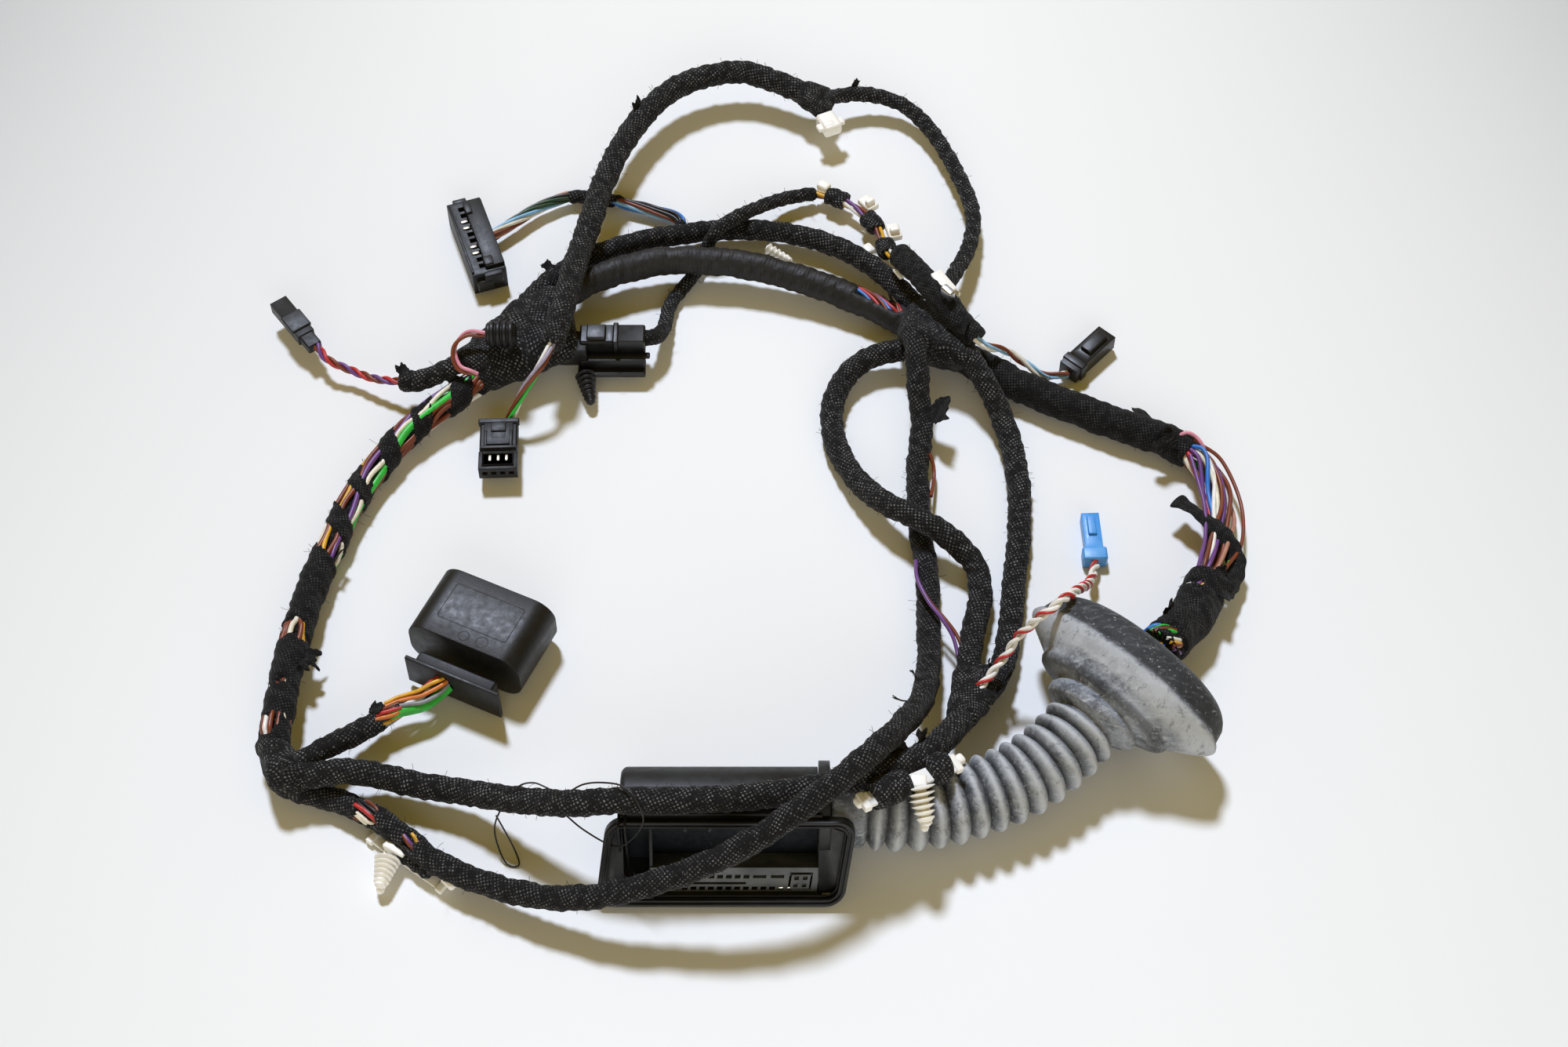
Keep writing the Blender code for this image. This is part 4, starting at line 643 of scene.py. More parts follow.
routes = {
    "arc_trunk": [(-.077, .069, .0130), (-.060, .086, .0130), (-.043, .095, .0130), (-.023, .100, .0135),
                  (.001, .100, .0130), (.025, .095, .0120), (.048, .087, .0100), (.068, .077, .0090),
                  (.085, .065, .0090)],
    "right_trunk": [(.100, .054, .0090), (.113, .045, .0082), (.126, .037, .0075), (.143, .028, .0073),
                    (.165, .017, .0073), (.184, .009, .0073), (.195, .001, .0075)],
    "left_trunk": [(-.092, .044, .0125), (-.101, .034, .0120), (-.110, .027, .0110), (-.119, .020, .0095),
                   (-.129, .010, .0080), (-.139, -.005, .0072), (-.148, -.024, .0070), (-.154, -.043, .0070),
                   (-.159, -.063, .0075), (-.163, -.085, .0090), (-.165, -.108, .0105), (-.166, -.128, .0120),
                   (-.166, -.148, .0130)],
    "connector_branch": [(-.166, -.153, .0150), (-.154, -.149, .0150), (-.146, -.143, .0140),
                         (-.138, -.137, .0125), (-.128, -.129, .0105), (-.119, -.122, .0110)],
    "upper_branch": [(-.166, -.154, .0150), (-.149, -.1545, .0145), (-.138, -.153, .0145),
                     (-.123, -.154, .0120), (-.106, -.158, .0115), (-.090, -.162, .0140),
                     (-.071, -.170, .0230), (-.052, -.177, .0330), (-.034, -.179, .0385),
                     (-.012, -.179, .0388), (.011, -.178, .0390), (.031, -.176, .0400), (.046, -.173, .0410),
                     (.062, -.168, .0400), (.077, -.159, .0350), (.090, -.143, .0250), (.100, -.122, .0140)],
    "lower_branch": [(-.164, -.156, .0080), (-.150, -.158, .0062), (-.138, -.162, .0060),
                     (-.127, -.168, .0078), (-.115, -.177, .0086), (-.100, -.189, .0090),
                     (-.082, -.198, .0105), (-.058, -.206, .0150), (-.037, -.2085, .0220),
                     (-.014, -.206, .0300), (.005, -.202, .0380), (.025, -.194, .0470), (.042, -.183, .0525),
                     (.058, -.168, .0515), (.071, -.149, .0410), (.080, -.128, .0240), (.084, -.105, .0110),
                     (.085, -.080, .0060), (.085, -.055, .0053), (.083, -.032, .0053), (.083, -.007, .0060),
                     (.085, .013, .0090), (.084, .028, .0160), (.083, .043, .0215), (.081, .058, .0220)],
    "left_fork": [(.0995, -.121, .0140), (.0995, -.105, .0110), (.1025, -.086, .0080), (.106, -.069, .0070),
                  (.104, -.055, .0090), (.093, -.045, .0145), (.082, -.038, .0160), (.069, -.028, .0130),
                  (.058, -.013, .0080), (.050, .005, .0060), (.048, .024, .0060), (.053, .040, .0070),
                  (.064, .050, .0090), (.078, .053, .0110), (.090, .055, .0110)],
    "right_fork": [(.1035, -.121, .0140), (.1125, -.104, .0090), (.117, -.084, .0065), (.120, -.061, .0060),
                   (.123, -.038, .0060), (.124, -.011, .0060), (.1200, .015, .0075), (.1125, .031, .0150),
                   (.1040, .045, .0195)],
    "loop_branch": [(-.0685, .041, .0290), (-.065, .059, .0290), (-.061, .089, .0244), (-.056, .116, .0210),
                    (-.051, .143, .0180), (-.042, .171, .0160), (-.029, .193, .0160), (-.013, .206, .0160),
                    (.007, .211, .0160), (.024, .206, .0150), (.041, .197, .0140)],
    "thin_loop": [(.043, .196, .0140), (.064, .202, .0110), (.082, .197, .0090), (.095, .181, .0080),
                  (.105, .157, .0080), (.111, .133, .0090), (.109, .112, .0110), (.102, .093, .0150),
                  (.095, .078, .0190)],
    "rear_branch": [(-.085, .068, .0130), (-.079, .083, .0110), (-.068, .097, .0095), (-.053, .108, .0088),
                    (-.035, .116, .0082), (-.017, .120, .0080), (.004, .123, .0080), (.028, .121, .0080),
                    (.049, .114, .0080), (.065, .102, .0090), (.078, .087, .0100), (.087, .072, .0110)],
    "small_branch": [(-.0270, .0570, .0130), (-.0235, .067, .0075), (-.021, .084, .0036),
                     (-.013, .098, .0036), (-.008, .108, .0042), (-.003, .114, .0140), (.005, .121, .0165),
                     (.016, .131, .0130), (.028, .141, .0080), (.042, .146, .0060)],
    "left_stub": [(-.132, .035, .0120), (-.122, .034, .0150), (-.111, .038, .0180), (-.100, .044, .0190)],
    "comb_branch": [(-.068, .145, .0050), (-.059, .145, .0045), (-.045, .142, .0045),
                    (-.029, .1365, .0045), (-.0195, .1325, .0050), (-.0155, .1264, .0062)],
    "three_wires": [(-.169, .054, .0110), (-.164, .048, .0100), (-.154, .044, .0080), (-.144, .039, .0090),
                    (-.132, .035, .0120)],
    "comb_wires": [(-.100, .121, .0060), (-.092, .128, .0060), (-.082, .137, .0055), (-.074, .142, .0052),
                   (-.068, .145, .0050)],
    "four_wires": [(-.0685, .041, .0290), (-.072, .033, .0270), (-.080, .024, .0190), (-.0865, .0175, .0080)],
    "oval_wires": [(-.119, -.122, .0110), (-.1150, -.1205, .0112), (-.1110, -.1190, .0118),
                   (-.1052, -.1139, .0124)],
    "right_pair": [(.1092, .0478, .0232), (.1140, .0460, .0215), (.1210, .0485, .0160), (.1280, .0480, .0100),
                   (.1380, .0435, .0055), (.1471, .0449, .0048)],
    "blue_pair": [(.106, -.116, .0215), (.1115, -.110, .0245), (.118, -.104, .0330), (.126, -.1015, .0430),
                  (.134, -.0960, .0455), (.142, -.0835, .0340), (.149, -.066, .0120), (.1533, -.0520, .0040)],
    "plug_wire": [(-.0968, .0457, .0305), (-.104, .046, .0300), (-.109, .041, .0270), (-.107, .034, .0230),
                  (-.100, .032, .0215)],
    "row_wires": [(.0440, .1455, .0062), (.0506, .1426, .0070), (.0600, .1355, .0072), (.0673, .1260, .0080),
                  (.0712, .1165, .0088), (.0735, .1070, .0110), (.0760, .1005, .0160)],
    "row_sleeve": [(.0775, .0980, .0200), (.0835, .0860, .0245), (.0925, .0710, .0262), (.1005, .0590, .0255),
                   (.1085, .0485, .0235)],
    "taped_sleeve": [(.196, -.063, .0100), (.192, -.074, .0105), (.184, -.088, .0140), (.172, -.102, .0200)],
    "loose_wires": [(.1952, .0008, .0075), (.2000, -.0035, .0068), (.2030, -.0110, .0058),
                    (.2045, -.0200, .0050), (.2045, -.0330, .0052), (.2015, -.0490, .0070),
                    (.1962, -.0624, .0099)],
    "loose_brown_wire": [(.1985, .0035, .0115), (.208, -.004, .0090), (.2140, -.024, .0070),
                         (.212, -.045, .0090), (.2035, -.0600, .0135)],
    "loose_violet_wire": [(.1950, -.0060, .0125), (.1965, -.015, .0120), (.1980, -.030, .0125),
                          (.1965, -.046, .0140), (.1922, -.0609, .0171)],
    "inner_bundle": [(.172, -.102, .0200), (.165, -.110, .0225), (.157, -.1185, .0235),
                     (.1460, -.1308, .0215),
                     (.1395, -.1385, .0195), (.1305, -.1475, .0180), (.119, -.1560, .0165),
                     (.106, -.1625, .0157), (.090, -.1680, .0155), (.075, -.1706, .0155),
                     (.060, -.1712, .0163), (.0454, -.1705, .0168), (.033, -.1700, .0165),
                     (.020, -.1695, .0150), (.009, -.1715, .0125)],
}
bellowsRoute = [(.0454, -.1705, .0168), (.0530, -.1705, .0168), (.0610, -.1706, .0167), (.075, -.1706, .0158),
                (.090, -.1680, .0155), (.106, -.1625, .0157), (.119, -.1560, .0165), (.1305, -.1475, .0180),
                (.1395, -.1385, .0195), (.1460, -.1308, .0215), (.157, -.1190, .0242), (.1675, -.1078, .0250)]
patchRoute = [(-.0850, .0500, .0130), (-.0720, .0530, .0135), (-.0590, .0560, .0140)]
loopStubRoute = [(.0420, .1970, .0140), (.0450, .1900, .0135), (.0470, .1850, .0130)]
lines = {name: smoothLine(route) for name, route in routes.items()}


def part(name, start=0.0, end=0.0, step=0.001):
    return evenLine(lines[name], step, start, end)


def stretched(line, before, after):
    # The line with a short straight run added at its ends, to reach into what holds it
    parts = [line]
    if before:
        away = (line[0] - line[2]) / np.linalg.norm(line[0] - line[2])
        parts.insert(0, (line[0] + away * before)[None])
    if after:
        away = (line[-1] - line[-3]) / np.linalg.norm(line[-1] - line[-3])
        parts.append((line[-1] + away * after)[None])
    return evenLine(np.vstack(parts), 0.0008)


# Taped bundles. Windows are distances along a bundle where its wires show.

trunkColours = ["brown", "green", "cream", "violet", "brown", "yellow", "brown", "cream", "brown", "brown",
                "white", "brown", "brown", "yellow"]
bundles = {
    "arc_trunk": {"diameter": .0122, "start": .0147, "end": .0060, "finish": vinylTape, "pitch": .016,
                  "ridge": .0004, "windows": [(.146, .168, -18, 27)],
                  "colours": ["blue", "red", "brown", "black"]},
    "right_trunk": {"diameter": .0138, "start": .0050, "end": 0, "finish": matTape, "pitch": .019,
                    "ridge": .0006, "lumps": .035},
    "left_trunk": {"diameter": .0125, "start": .0107, "end": .0070, "pitch": .012, "ridge": .0006,
                   "finish": matTape, "lay": -.30, "lumps": .045,
                   "spiral": {"pitch": .0205, "phase": .30, "share": .52},
                   "wireGirth": .00112,
                   "windows": [(.0120, .1190), (.1540, .1620, 5, 50), (.1825, .1850, 0, 20),
                               (.1965, .2040, 35, 45)],
                   "colours": trunkColours},
    "connector_branch": {"diameter": .0088, "start": .0060, "end": .0040, "lumps": .045,
                         "windows": [(.0480, .0575)],
                         "colours": ["brown", "grey", "red", "yellow", "black", "orange", "brown"]},
    "upper_branch": {"diameter": .0100, "start": .0100, "end": .0147, "pitch": .0088},
    "lower_branch": {"diameter": .0094, "start": .0100, "end": .0060, "finish": flatTape, "pitch": .017,
                     "ridge": .0005, "lumps": .04,
                     "windows": [(.0330, .0420, 10, 70), (.0560, .0610, 20, 50)],
                     "colours": ["brown", "violet", "yellow", "black", "cream", "brown", "red"]},
    "left_fork": {"diameter": .0096, "start": .0147, "end": .0080, "pitch": .0086},
    "right_fork": {"diameter": .0096, "start": .0167, "end": .0067, "pitch": .0090},
    "loop_branch": {"diameter": .0104, "start": .0007, "end": .0067, "pitch": .0086, "ridge": .00055},
    "thin_loop": {"diameter": .0068, "start": .0087, "end": 0, "pitch": .0078},
    "rear_branch": {"diameter": .0092, "start": .0087, "end": .0050, "pitch": .0090},
    "small_branch": {"diameter": .0060, "start": 0, "end": 0, "pitch": .0075, "ridge": .0003},
    "left_stub": {"diameter": .0086, "start": 0, "end": .0087, "pitch": .0085, "lumps": .05},
    "comb_branch": {"diameter": .0060, "start": .0007, "end": 0, "pitch": .0080, "ridge": .0003,
                    "windows": [(.0105, .0140), (.0230, .0560)],
                    "colours": ["blue", "black", "cream", "brown", "black", "sky"]},
    "taped_sleeve": {"diameter": .0180, "start": 0, "end": 0, "pitch": .026, "ridge": .0004, "lumps": .04,
                     "finish": matTape,
                     "windows": [(.0085, .0110, 40, 35), (.0150, .0160, 0, 12), (.0425, .0475, 30, 110)],
                     "colours": ["yellow", "blue", "green", "brown", "white", "violet", "black"]},
    "row_sleeve": {"diameter": .0105, "start": 0, "end": 0, "finish": matTape, "pitch": .020,
                   "ridge": .0006, "lumps": .045},
    "inner_bundle": {"diameter": .0110, "start": .0009, "end": 0, "pitch": .012, "finish": matTape,
                     "windows": [(.001, .006)], "colours": ["yellow", "blue", "green", "black", "brown"]},
}
# a bundle's own facts go to tapedTube as they are, apart from these
ownKeys = ("diameter", "start", "end", "finish")
# how far the tape reaches past the solid's ends, into what holds it
hiddenReach = .003
for number, (name, facts) in enumerate(bundles.items()):
    start = max(facts["start"] - hiddenReach, 0)
    line = part(name, start, max(facts["end"] - hiddenReach, 0))
    extras = {key: value for key, value in facts.items() if key not in ownKeys}
    piece = tapedTube(name + "_tape", line, facts["diameter"], facts.get("finish", clothTape), 11 + number,
                      node=name, hand=-1 if number % 2 else 1, offset=start, **extras)
    declareCord(line, facts["diameter"])

# Bare wires at the connectors and at the right end

wireGroups = {
    "three_wires": {"diameter": .0036, "wires": ["red", "violet", "brown"], "ring": .00105, "lay": .016,
                    "end": .0009, "slot": "brown_wire"},
    "comb_wires": {"diameter": .0052, "wires": ["moss", "sky", "cream", "brown", "rose", "black", "moss"],
                   "ring": .0018, "lay": .060, "start": .0015, "end": .0007, "slot": "mixed_wires"},
    "four_wires": {"diameter": .0036, "wires": ["lilac", "white", "green", "brown"], "ring": .00115,
                   "lay": .060, "start": .0007, "end": .0012, "slot": "green_wire"},
    "oval_wires": {"diameter": .0064, "wires": [("green", .0021, .0029, .27), ("black", .0010, .0024, .52),
                   ("brown", .0008, .0026, .72), ("red", .0008, .0028, .84), ("yellow", .0008, .0028, .94),
                   ("orange", .0008, .0027, .04), ("grey", .0008, .0026, .14)],
                   "ring": .0024, "lay": .200, "start": 0, "wander": .0007, "reach": (.0060, .0030),
                   "slot": "mixed_wires"},
    "right_pair": {"diameter": .0032, "wires": [("white", .0010, .0010, 0), ("brown", .0008, .0010, .4),
                   ("sky", .0006, .0012, .7)], "ring": .0010, "lay": .030, "slot": "white_wire"},
    "blue_pair": {"diameter": .0032, "wires": [("white", .0009, .00095, 0), ("white", .0009, .00095, .5),
                  ("red", .00066, .00148, .13)], "ring": .0009,
                  "lay": .0125, "reach": (.0100, .0012), "slot": "white_wire"},
    "plug_wire": {"diameter": .0032, "wires": ["brown", "pink"], "ring": .00086, "lay": .030,
                  "slot": "brown_wire"},
    "row_wires": {"diameter": .0042, "wires": ["violet", "white", "yellow", "brown"], "ring": .00135,
                  "lay": .050, "slot": "mixed_wires"},
    "loose_wires": {"diameter": .0082, "wires": [(colour, .00092, .0034, k / 15) for k, colour in enumerate(
                    ("violet", "brown", "white", "blue", "violet", "red", "cream", "yellow", "sky", "brown",
                     "violet", "green", "white", "rose", "brown"))] + [("cream", .0011, .0012, .2),
                    ("violet", .0011, .0012, .7)], "ring": .0034, "lay": .240,
                    "start": .0007, "end": .0003, "wander": .0028, "slot": "mixed_wires"},
    "loose_brown_wire": {"diameter": .0016, "wires": ["brown"], "ring": 0.0, "lay": 1.0,
                         "slot": "brown_wire"},
    "loose_violet_wire": {"diameter": .0016, "wires": ["violet"], "ring": 0.0, "lay": 1.0,
                          "slot": "violet_wire"},
}
for number, (name, facts) in enumerate(wireGroups.items()):
    line = stretched(part(name, facts.get("start", 0), facts.get("end", 0), .0008),
                     *facts.get("reach", (.0025, .0012)))
    piece = wireGroup(name + "_bare", line, facts["wires"], facts["ring"], number + 3,
                      node=name, lay=facts["lay"], wander=facts.get("wander", 0))
    declareCord(line, facts["diameter"])
print("cords made")


# Taped junctions

def frameAt(line, distance, fromEnd=False):
    # Place on a line, with local Z along it and local Y as high as it goes
    run = line[::-1] if fromEnd else line
    along = distancesOf(run)
    here = np.array([np.interp(distance, along, run[:, k]) for k in range(3)])
    ahead = np.array([np.interp(distance + 0.0006, along, run[:, k]) for k in range(3)])
    back = np.array([np.interp(max(distance - 0.0006, 0), along, run[:, k]) for k in range(3)])
    forward = Vector(ahead - back).normalized()
    across = Vector((0, 0, 1)).cross(forward).normalized()
    basis = Matrix((across, forward.cross(across), forward)).transposed().to_4x4()
    return Matrix.Translation(Vector(here)) @ basis


wrapFinish = {"thickness": 0.0009, "voxel": 0.0012, "pitch": 0.0105, "ridge": 0.00075, "rounds": 6,
              "lumps": 0.00035, "radius": 0.008}
wraps = {
    "corner_wrap": [("left_trunk", .007, True, .0125), ("connector_branch", .008, False, .0088),
                    ("upper_branch", .013, False, .0100), ("lower_branch", .011, False, .0094),
                    ("upper_branch", .001, False, .0125)],
    "centre_wrap": [("left_trunk", .010, False, .0125), ("arc_trunk", .014, False, .0122),
                    ("left_stub", .008, True, .0086), ("rear_branch", .008, False, .0092),
                    ("patch", .001, True, .0140)],
    "right_wrap": [("arc_trunk", .006, True, .0122), ("right_trunk", .005, False, .0138),
                   ("left_fork", .009, True, .0096), ("right_fork", .005, True, .0096),
                   ("rear_branch", .005, True, .0092), ("lower_branch", .006, True, .0094)],
    "fork_wrap": [("upper_branch", .014, True, .0100), ("left_fork", .014, False, .0096),
                  ("right_fork", .016, False, .0096)],
    "loop_wrap": [("loop_branch", .006, True, .0104), ("thin_loop", .008, False, .0068),
                  ("loop_stub", .010, False, .0068)],
}
lines["patch"] = smoothLine(patchRoute)
lines["loop_stub"] = smoothLine(loopStubRoute)


def relax(bm, factor):
    bmesh.ops.smooth_vert(bm, verts=bm.verts, factor=factor, use_axis_x=True, use_axis_y=True,
                          use_axis_z=True)


def wrapPiece(name, arms, seed):
    # Cloth tape wound crosswise over a junction: a taut skin, softened, with the tape's edges
    bm = bmesh.new()
    places = [frameAt(lines[lineName], distance, fromEnd) for lineName, distance, fromEnd, _ in arms]
    for place, (*_, diameter) in zip(places, arms):
        bmesh.ops.create_circle(bm, cap_ends=False, segments=24,
                                radius=diameter / 2 + wrapFinish["thickness"], matrix=place)
    skin = bmesh.ops.convex_hull(bm, input=bm.verts)
    spare = [item for item in skin["geom_interior"] if isinstance(item, bmesh.types.BMVert)]
    bmesh.ops.delete(bm, geom=spare, context="VERTS")
    bmesh.ops.delete(bm, geom=[edge for edge in bm.edges if not edge.link_faces], context="EDGES")
    bmesh.ops.recalc_face_normals(bm, faces=bm.faces)
    holder = linked(name + "_guide", meshFrom(bm, name))
    step = holder.modifiers.new("even", "REMESH")
    step.mode = "VOXEL"
    step.voxel_size = wrapFinish["voxel"]
    mesh = evaluatedMesh(holder, clothTape)
    bm = bmesh.new()
    bm.from_mesh(mesh)
    for _ in range(wrapFinish["rounds"]):
        relax(bm, 0.5)
    bm.normal_update()
    spots = np.array([v.co[:] for v in bm.verts])
    normals = np.array([v.normal[:] for v in bm.verts])
    centre = spots.mean(0)
    best = np.full(len(spots), 9.0)
    along = np.zeros(len(spots))
    angle = np.zeros(len(spots))
    for number, place in enumerate(places):
        axis = np.array(place.translation) - centre
        length = np.linalg.norm(axis)
        axis = axis / length
        travel = (spots - centre) @ axis
        foot = centre + np.clip(travel, 0, length)[:, None] * axis
        away = np.linalg.norm(spots - foot, axis=1) + 0.0006 * np.sin(travel / 0.0031 + number)
        side = np.cross(axis, [0, 0, 1])
        side = side / np.linalg.norm(side)
        up = np.cross(side, axis)
        closer = away < best
        best = np.where(closer, away, best)
        along = np.where(closer, travel + 0.0043 * number, along)
        radial = spots - foot
        angle = np.where(closer, np.arctan2(radial @ side, radial @ up), angle)
    saw = (along / wrapFinish["pitch"] + angle / (2 * math.pi) + seed * 0.31) % 1.0
    lift = wrapFinish["ridge"] * (np.minimum(saw / 0.86, (1 - saw) / 0.14) - 0.5)
    lift = lift + sineLumps(along, angle, seed, wrapFinish["lumps"])
    spots = spots + normals * lift[:, None]
    spots[:, 2] = np.maximum(spots[:, 2], tapeFloor)
    for vertex, spot in zip(bm.verts, spots):
        vertex.co = spot
    relax(bm, 0.25)
    mesh.clear_geometry()
    bm.to_mesh(mesh)
    bm.free()
    setFloats(mesh, along=along, around=angle * wrapFinish["radius"])
    mesh.shade_smooth()
    return addObject(name + "_tape", mesh, (name,))


for number, (name, arms) in enumerate(wraps.items()):
    wrapPiece(name, arms, number + 2)
print("junctions made")


# Mouldings: the CAD's own solids with their edges eased

def easeEdges(bm, edges, width, segments, clamp=True):
    bmesh.ops.bevel(bm, geom=edges, offset=width, offset_type="OFFSET", segments=segments, profile=0.5,
                    affect="EDGES", material=-1, clamp_overlap=clamp)


def sharpEdges(bm, angle):
    return [edge for edge in bm.edges if len(edge.link_faces) == 2 and edge.calc_face_angle(0.0) > angle]


# the left end of the cover is rounder than its other edges
coverEnd = {"right": -.0310, "low": .012, "width": .0042}


def easedCopy(node, width, finish):
    # A moulding with the CAD solid's faces and rounded edges
    bm = bmesh.new()
    bm.from_mesh(nodes[node].data)
    bmesh.ops.remove_doubles(bm, verts=bm.verts, dist=0.000004)
    bmesh.ops.dissolve_limit(bm, angle_limit=math.radians(1.5), verts=bm.verts, edges=bm.edges,
                             use_dissolve_boundaries=False)
    bm.normal_update()
    if node == "housing_cover":
        ends = [edge for edge in sharpEdges(bm, 0.8) if all(
            v.co.x < coverEnd["right"] and v.co.z > coverEnd["low"] for v in edge.verts)]
        easeEdges(bm, ends, coverEnd["width"], 5)
        bm.normal_update()
    easeEdges(bm, sharpEdges(bm, math.radians(28)), width, 2)
    bmesh.ops.triangulate(bm, faces=[face for face in bm.faces if len(face.verts) > 4])
    return addObject(node + "_moulding", meshFrom(bm, node + "_moulding", finish), (node,), 32)


mouldings = {
    "housing_cover": (.0006, slatePlastic), "oval_carrier": (.0004, blackNylon),
    "comb_connector": (.0002, blackNylon), "three_way_connector": (.00025, blackNylon),
    "four_pin_slide": (.0003, blackNylon), "four_pin_connector": (.00025, blackNylon),
    "right_connector": (.00025, glossBlack), "blue_connector": (.00025, bluePlastic),
    "round_plug": (.0002, blackNylon), "coupling_connector": (.0003, glossBlack),
    "left_clip": (.0002, whiteNylon), "right_clip": (.0002, whiteNylon), "carrier_clip": (.0002, glossBlack),
    "loop_clip": (.0003, whiteNylon), "row_clip_1": (.0003, whiteNylon), "row_clip_2": (.0003, whiteNylon),
    "row_plate": (.0003, whiteNylon), "metal_clip": (.00015, steelMetal),
}
for node, (width, finish) in mouldings.items():
    easedCopy(node, width, finish)
print("mouldings made")

# Tape bands on the clip row
bandPlaces = {"tape_band_1": .008, "tape_band_2": .030, "tape_band_3": .048}
bandSetup = {"length": .0092, "diameter": .0088, "flat": .30, "step": .0006}
for number, (name, distance) in enumerate(bandPlaces.items()):
    run = lines["row_wires"]
    low = distance - bandSetup["length"] / 2
    after = distancesOf(run)[-1] - distance - bandSetup["length"] / 2
    line = evenLine(run, bandSetup["step"], max(low, 0), max(after, 0))
    tapedTube(name + "_tape", line, bandSetup["diameter"], clothTape, 40 + number, node=name, pitch=.0055,
              ridge=.0004, lumps=.05, offset=low, flat=bandSetup["flat"], taper=.0003)


# Rubber bellows and grommet

def bridgedCircles(bm, circles, sides, closed):
    # A skin over circles, each with its matrix and radius; closed joins the last to the first
    loops = []
    for shape, radius in circles:
        ring = bmesh.ops.create_circle(bm, cap_ends=False, segments=sides, radius=radius,
                                       matrix=shape)["verts"]
        loops.append(list({edge for vertex in ring for edge in vertex.link_edges}))
    for one, two in zip(loops, loops[1:] + (loops[:1] if closed else [])):
        bmesh.ops.bridge_loops(bm, edges=one + two)
    return loops


bellowsSetup = {"ridges": 13, "ridgeSteps": 10, "crest": .0152, "valley": .0114, "wall": .0016,
                "collar": .0135, "collarBore": .0122, "neckGap": .0225, "sides": 72}
bellowsLine = smoothLine(bellowsRoute)
rimPlace = float(distancesOf(smoothLine(bellowsRoute[:-1]))[-1])
neckPlace = rimPlace - bellowsSetup["neckGap"]
ridgePitch = (neckPlace - bellowsSetup["collar"] - 0.001) / bellowsSetup["ridges"]


def station(distance, halfWidth, halfHeight=None):
    # A circle of the bellows: its place along them, stretched to its half width and half height
    stretch = Matrix.Diagonal((halfWidth, halfHeight or halfWidth, 1.0, 1.0))
    return frameAt(bellowsLine, distance) @ stretch, 1.0


# the collar's places and how far it stands out from its bore
profileCollar = [(.0, .0013), (.0005, .0020), (.0012, .0023), (.0030, .0022), (.0060, .0021), (.0095, .0021),
                 (.0112, .0020), (.0122, .0014)]
collarBore = bellowsSetup["collarBore"]
outer = [station(distance, collarBore + extra) for distance, extra in profileCollar]
ridgeSteps = bellowsSetup["ridgeSteps"]
for number in range(bellowsSetup["ridges"]):
    root = bellowsSetup["collar"] + ridgePitch * number
    for step in range(ridgeSteps):
        t = step / ridgeSteps
        height = abs(math.sin(math.pi * t)) ** 0.85
        outer.append(station(root + ridgePitch * t, bellowsSetup["valley"]
                             + (bellowsSetup["crest"] - bellowsSetup["valley"]) * height))
# the rim's places along the bellows from its widest circle, with half width and half height
profileRim = [(-.0225, .0125, .0125), (-.0215, .0150, .0145), (-.0208, .0184, .0168), (-.0195, .0197, .0171),
              (-.0178, .0199, .0170), (-.0168, .0192, .0160), (-.0155, .0186, .0150), (-.0144, .0205, .0155),
              (-.0137, .0265, .0176), (-.0130, .0290, .0186), (-.0118, .0299, .0191), (-.0104, .0301, .0192),
              (-.0092, .0316, .0196), (-.0080, .0336, .0202), (-.0060, .0370, .0213), (-.0040, .0403, .0224),
              (-.0022, .0429, .0232), (-.0008, .0443, .0237), (.0000, .0447, .0238), (.0008, .0443, .0236),
              (.0015, .0433, .0231), (.0024, .0428, .0228), (.0050, .0422, .0225), (.0080, .0415, .0222),
              (.0100, .0402, .0214), (.0115, .0387, .0204), (.0125, .0373, .0194)]
outer += [station(rimPlace + ahead, wide, high) for ahead, wide, high in profileRim]
bore = bellowsSetup["valley"] - bellowsSetup["wall"]
profileInner = [(.0122, .0349, .0170), (.0100, .0352, .0174), (.0050, .0366, .0184), (.0000, .0377, .0188),
                (-.0035, .0340, .0180), (-.0070, .0280, .0165), (-.0090, .0200, .0140),
                (-.0110, .0130, .0120), (-.0160, bore, bore)]
inner = [station(rimPlace + ahead, wide, high) for ahead, wide, high in profileInner]
inner += [station(bellowsSetup["collar"] + (neckPlace - bellowsSetup["collar"]) * number / 9, bore)
          for number in range(8, 0, -1)]
inner += [station(bellowsSetup["collar"], bore), station(bellowsSetup["collar"] - .0008, collarBore),
          station(0.0003, collarBore)]
bm = bmesh.new()
bridgedCircles(bm, outer + inner, bellowsSetup["sides"], True)
bmesh.ops.recalc_face_normals(bm, faces=bm.faces)
mesh = meshFrom(bm, "bellows_grommet_rubber", greyRubber)
# how much painted highlight each circle gets on a crest, and how much painted shade in a crease
crest = np.zeros(len(outer) + len(inner))
crease = np.zeros(len(outer) + len(inner))
firstRidge = len(profileCollar)
for number in range(ridgeSteps * bellowsSetup["ridges"]):
    wave = math.cos(2 * math.pi * (number % ridgeSteps) / ridgeSteps)
    crest[firstRidge + number] = (0.5 - 0.5 * wave) ** 4
    crease[firstRidge + number] = 0.8 * (0.5 + 0.5 * wave) ** 3
outerCount = len(outer)
# painted highlight on the rim's rounded flank
crest[outerCount - 13:outerCount - 9] = 0.8
# painted shade at the step below the rim, on the rim's far side and over all of the inside
crease[outerCount - 19:outerCount - 16] = 0.6
crease[outerCount - 8:outerCount] = (0.75, 0.9, 0.95, 0.95, 0.95, 0.9, 0.8, 0.8)
crease[outerCount:] = 0.8
ringNumber = np.arange(len(mesh.vertices)) // bellowsSetup["sides"]
setFloats(mesh, crest=crest[ringNumber], crease=crease[ringNumber])
addObject("bellows_grommet_rubber", mesh, ("bellows_grommet",), 60)
print("bellows made")


# Door connector: wedge body with a rounded, slanted mouth

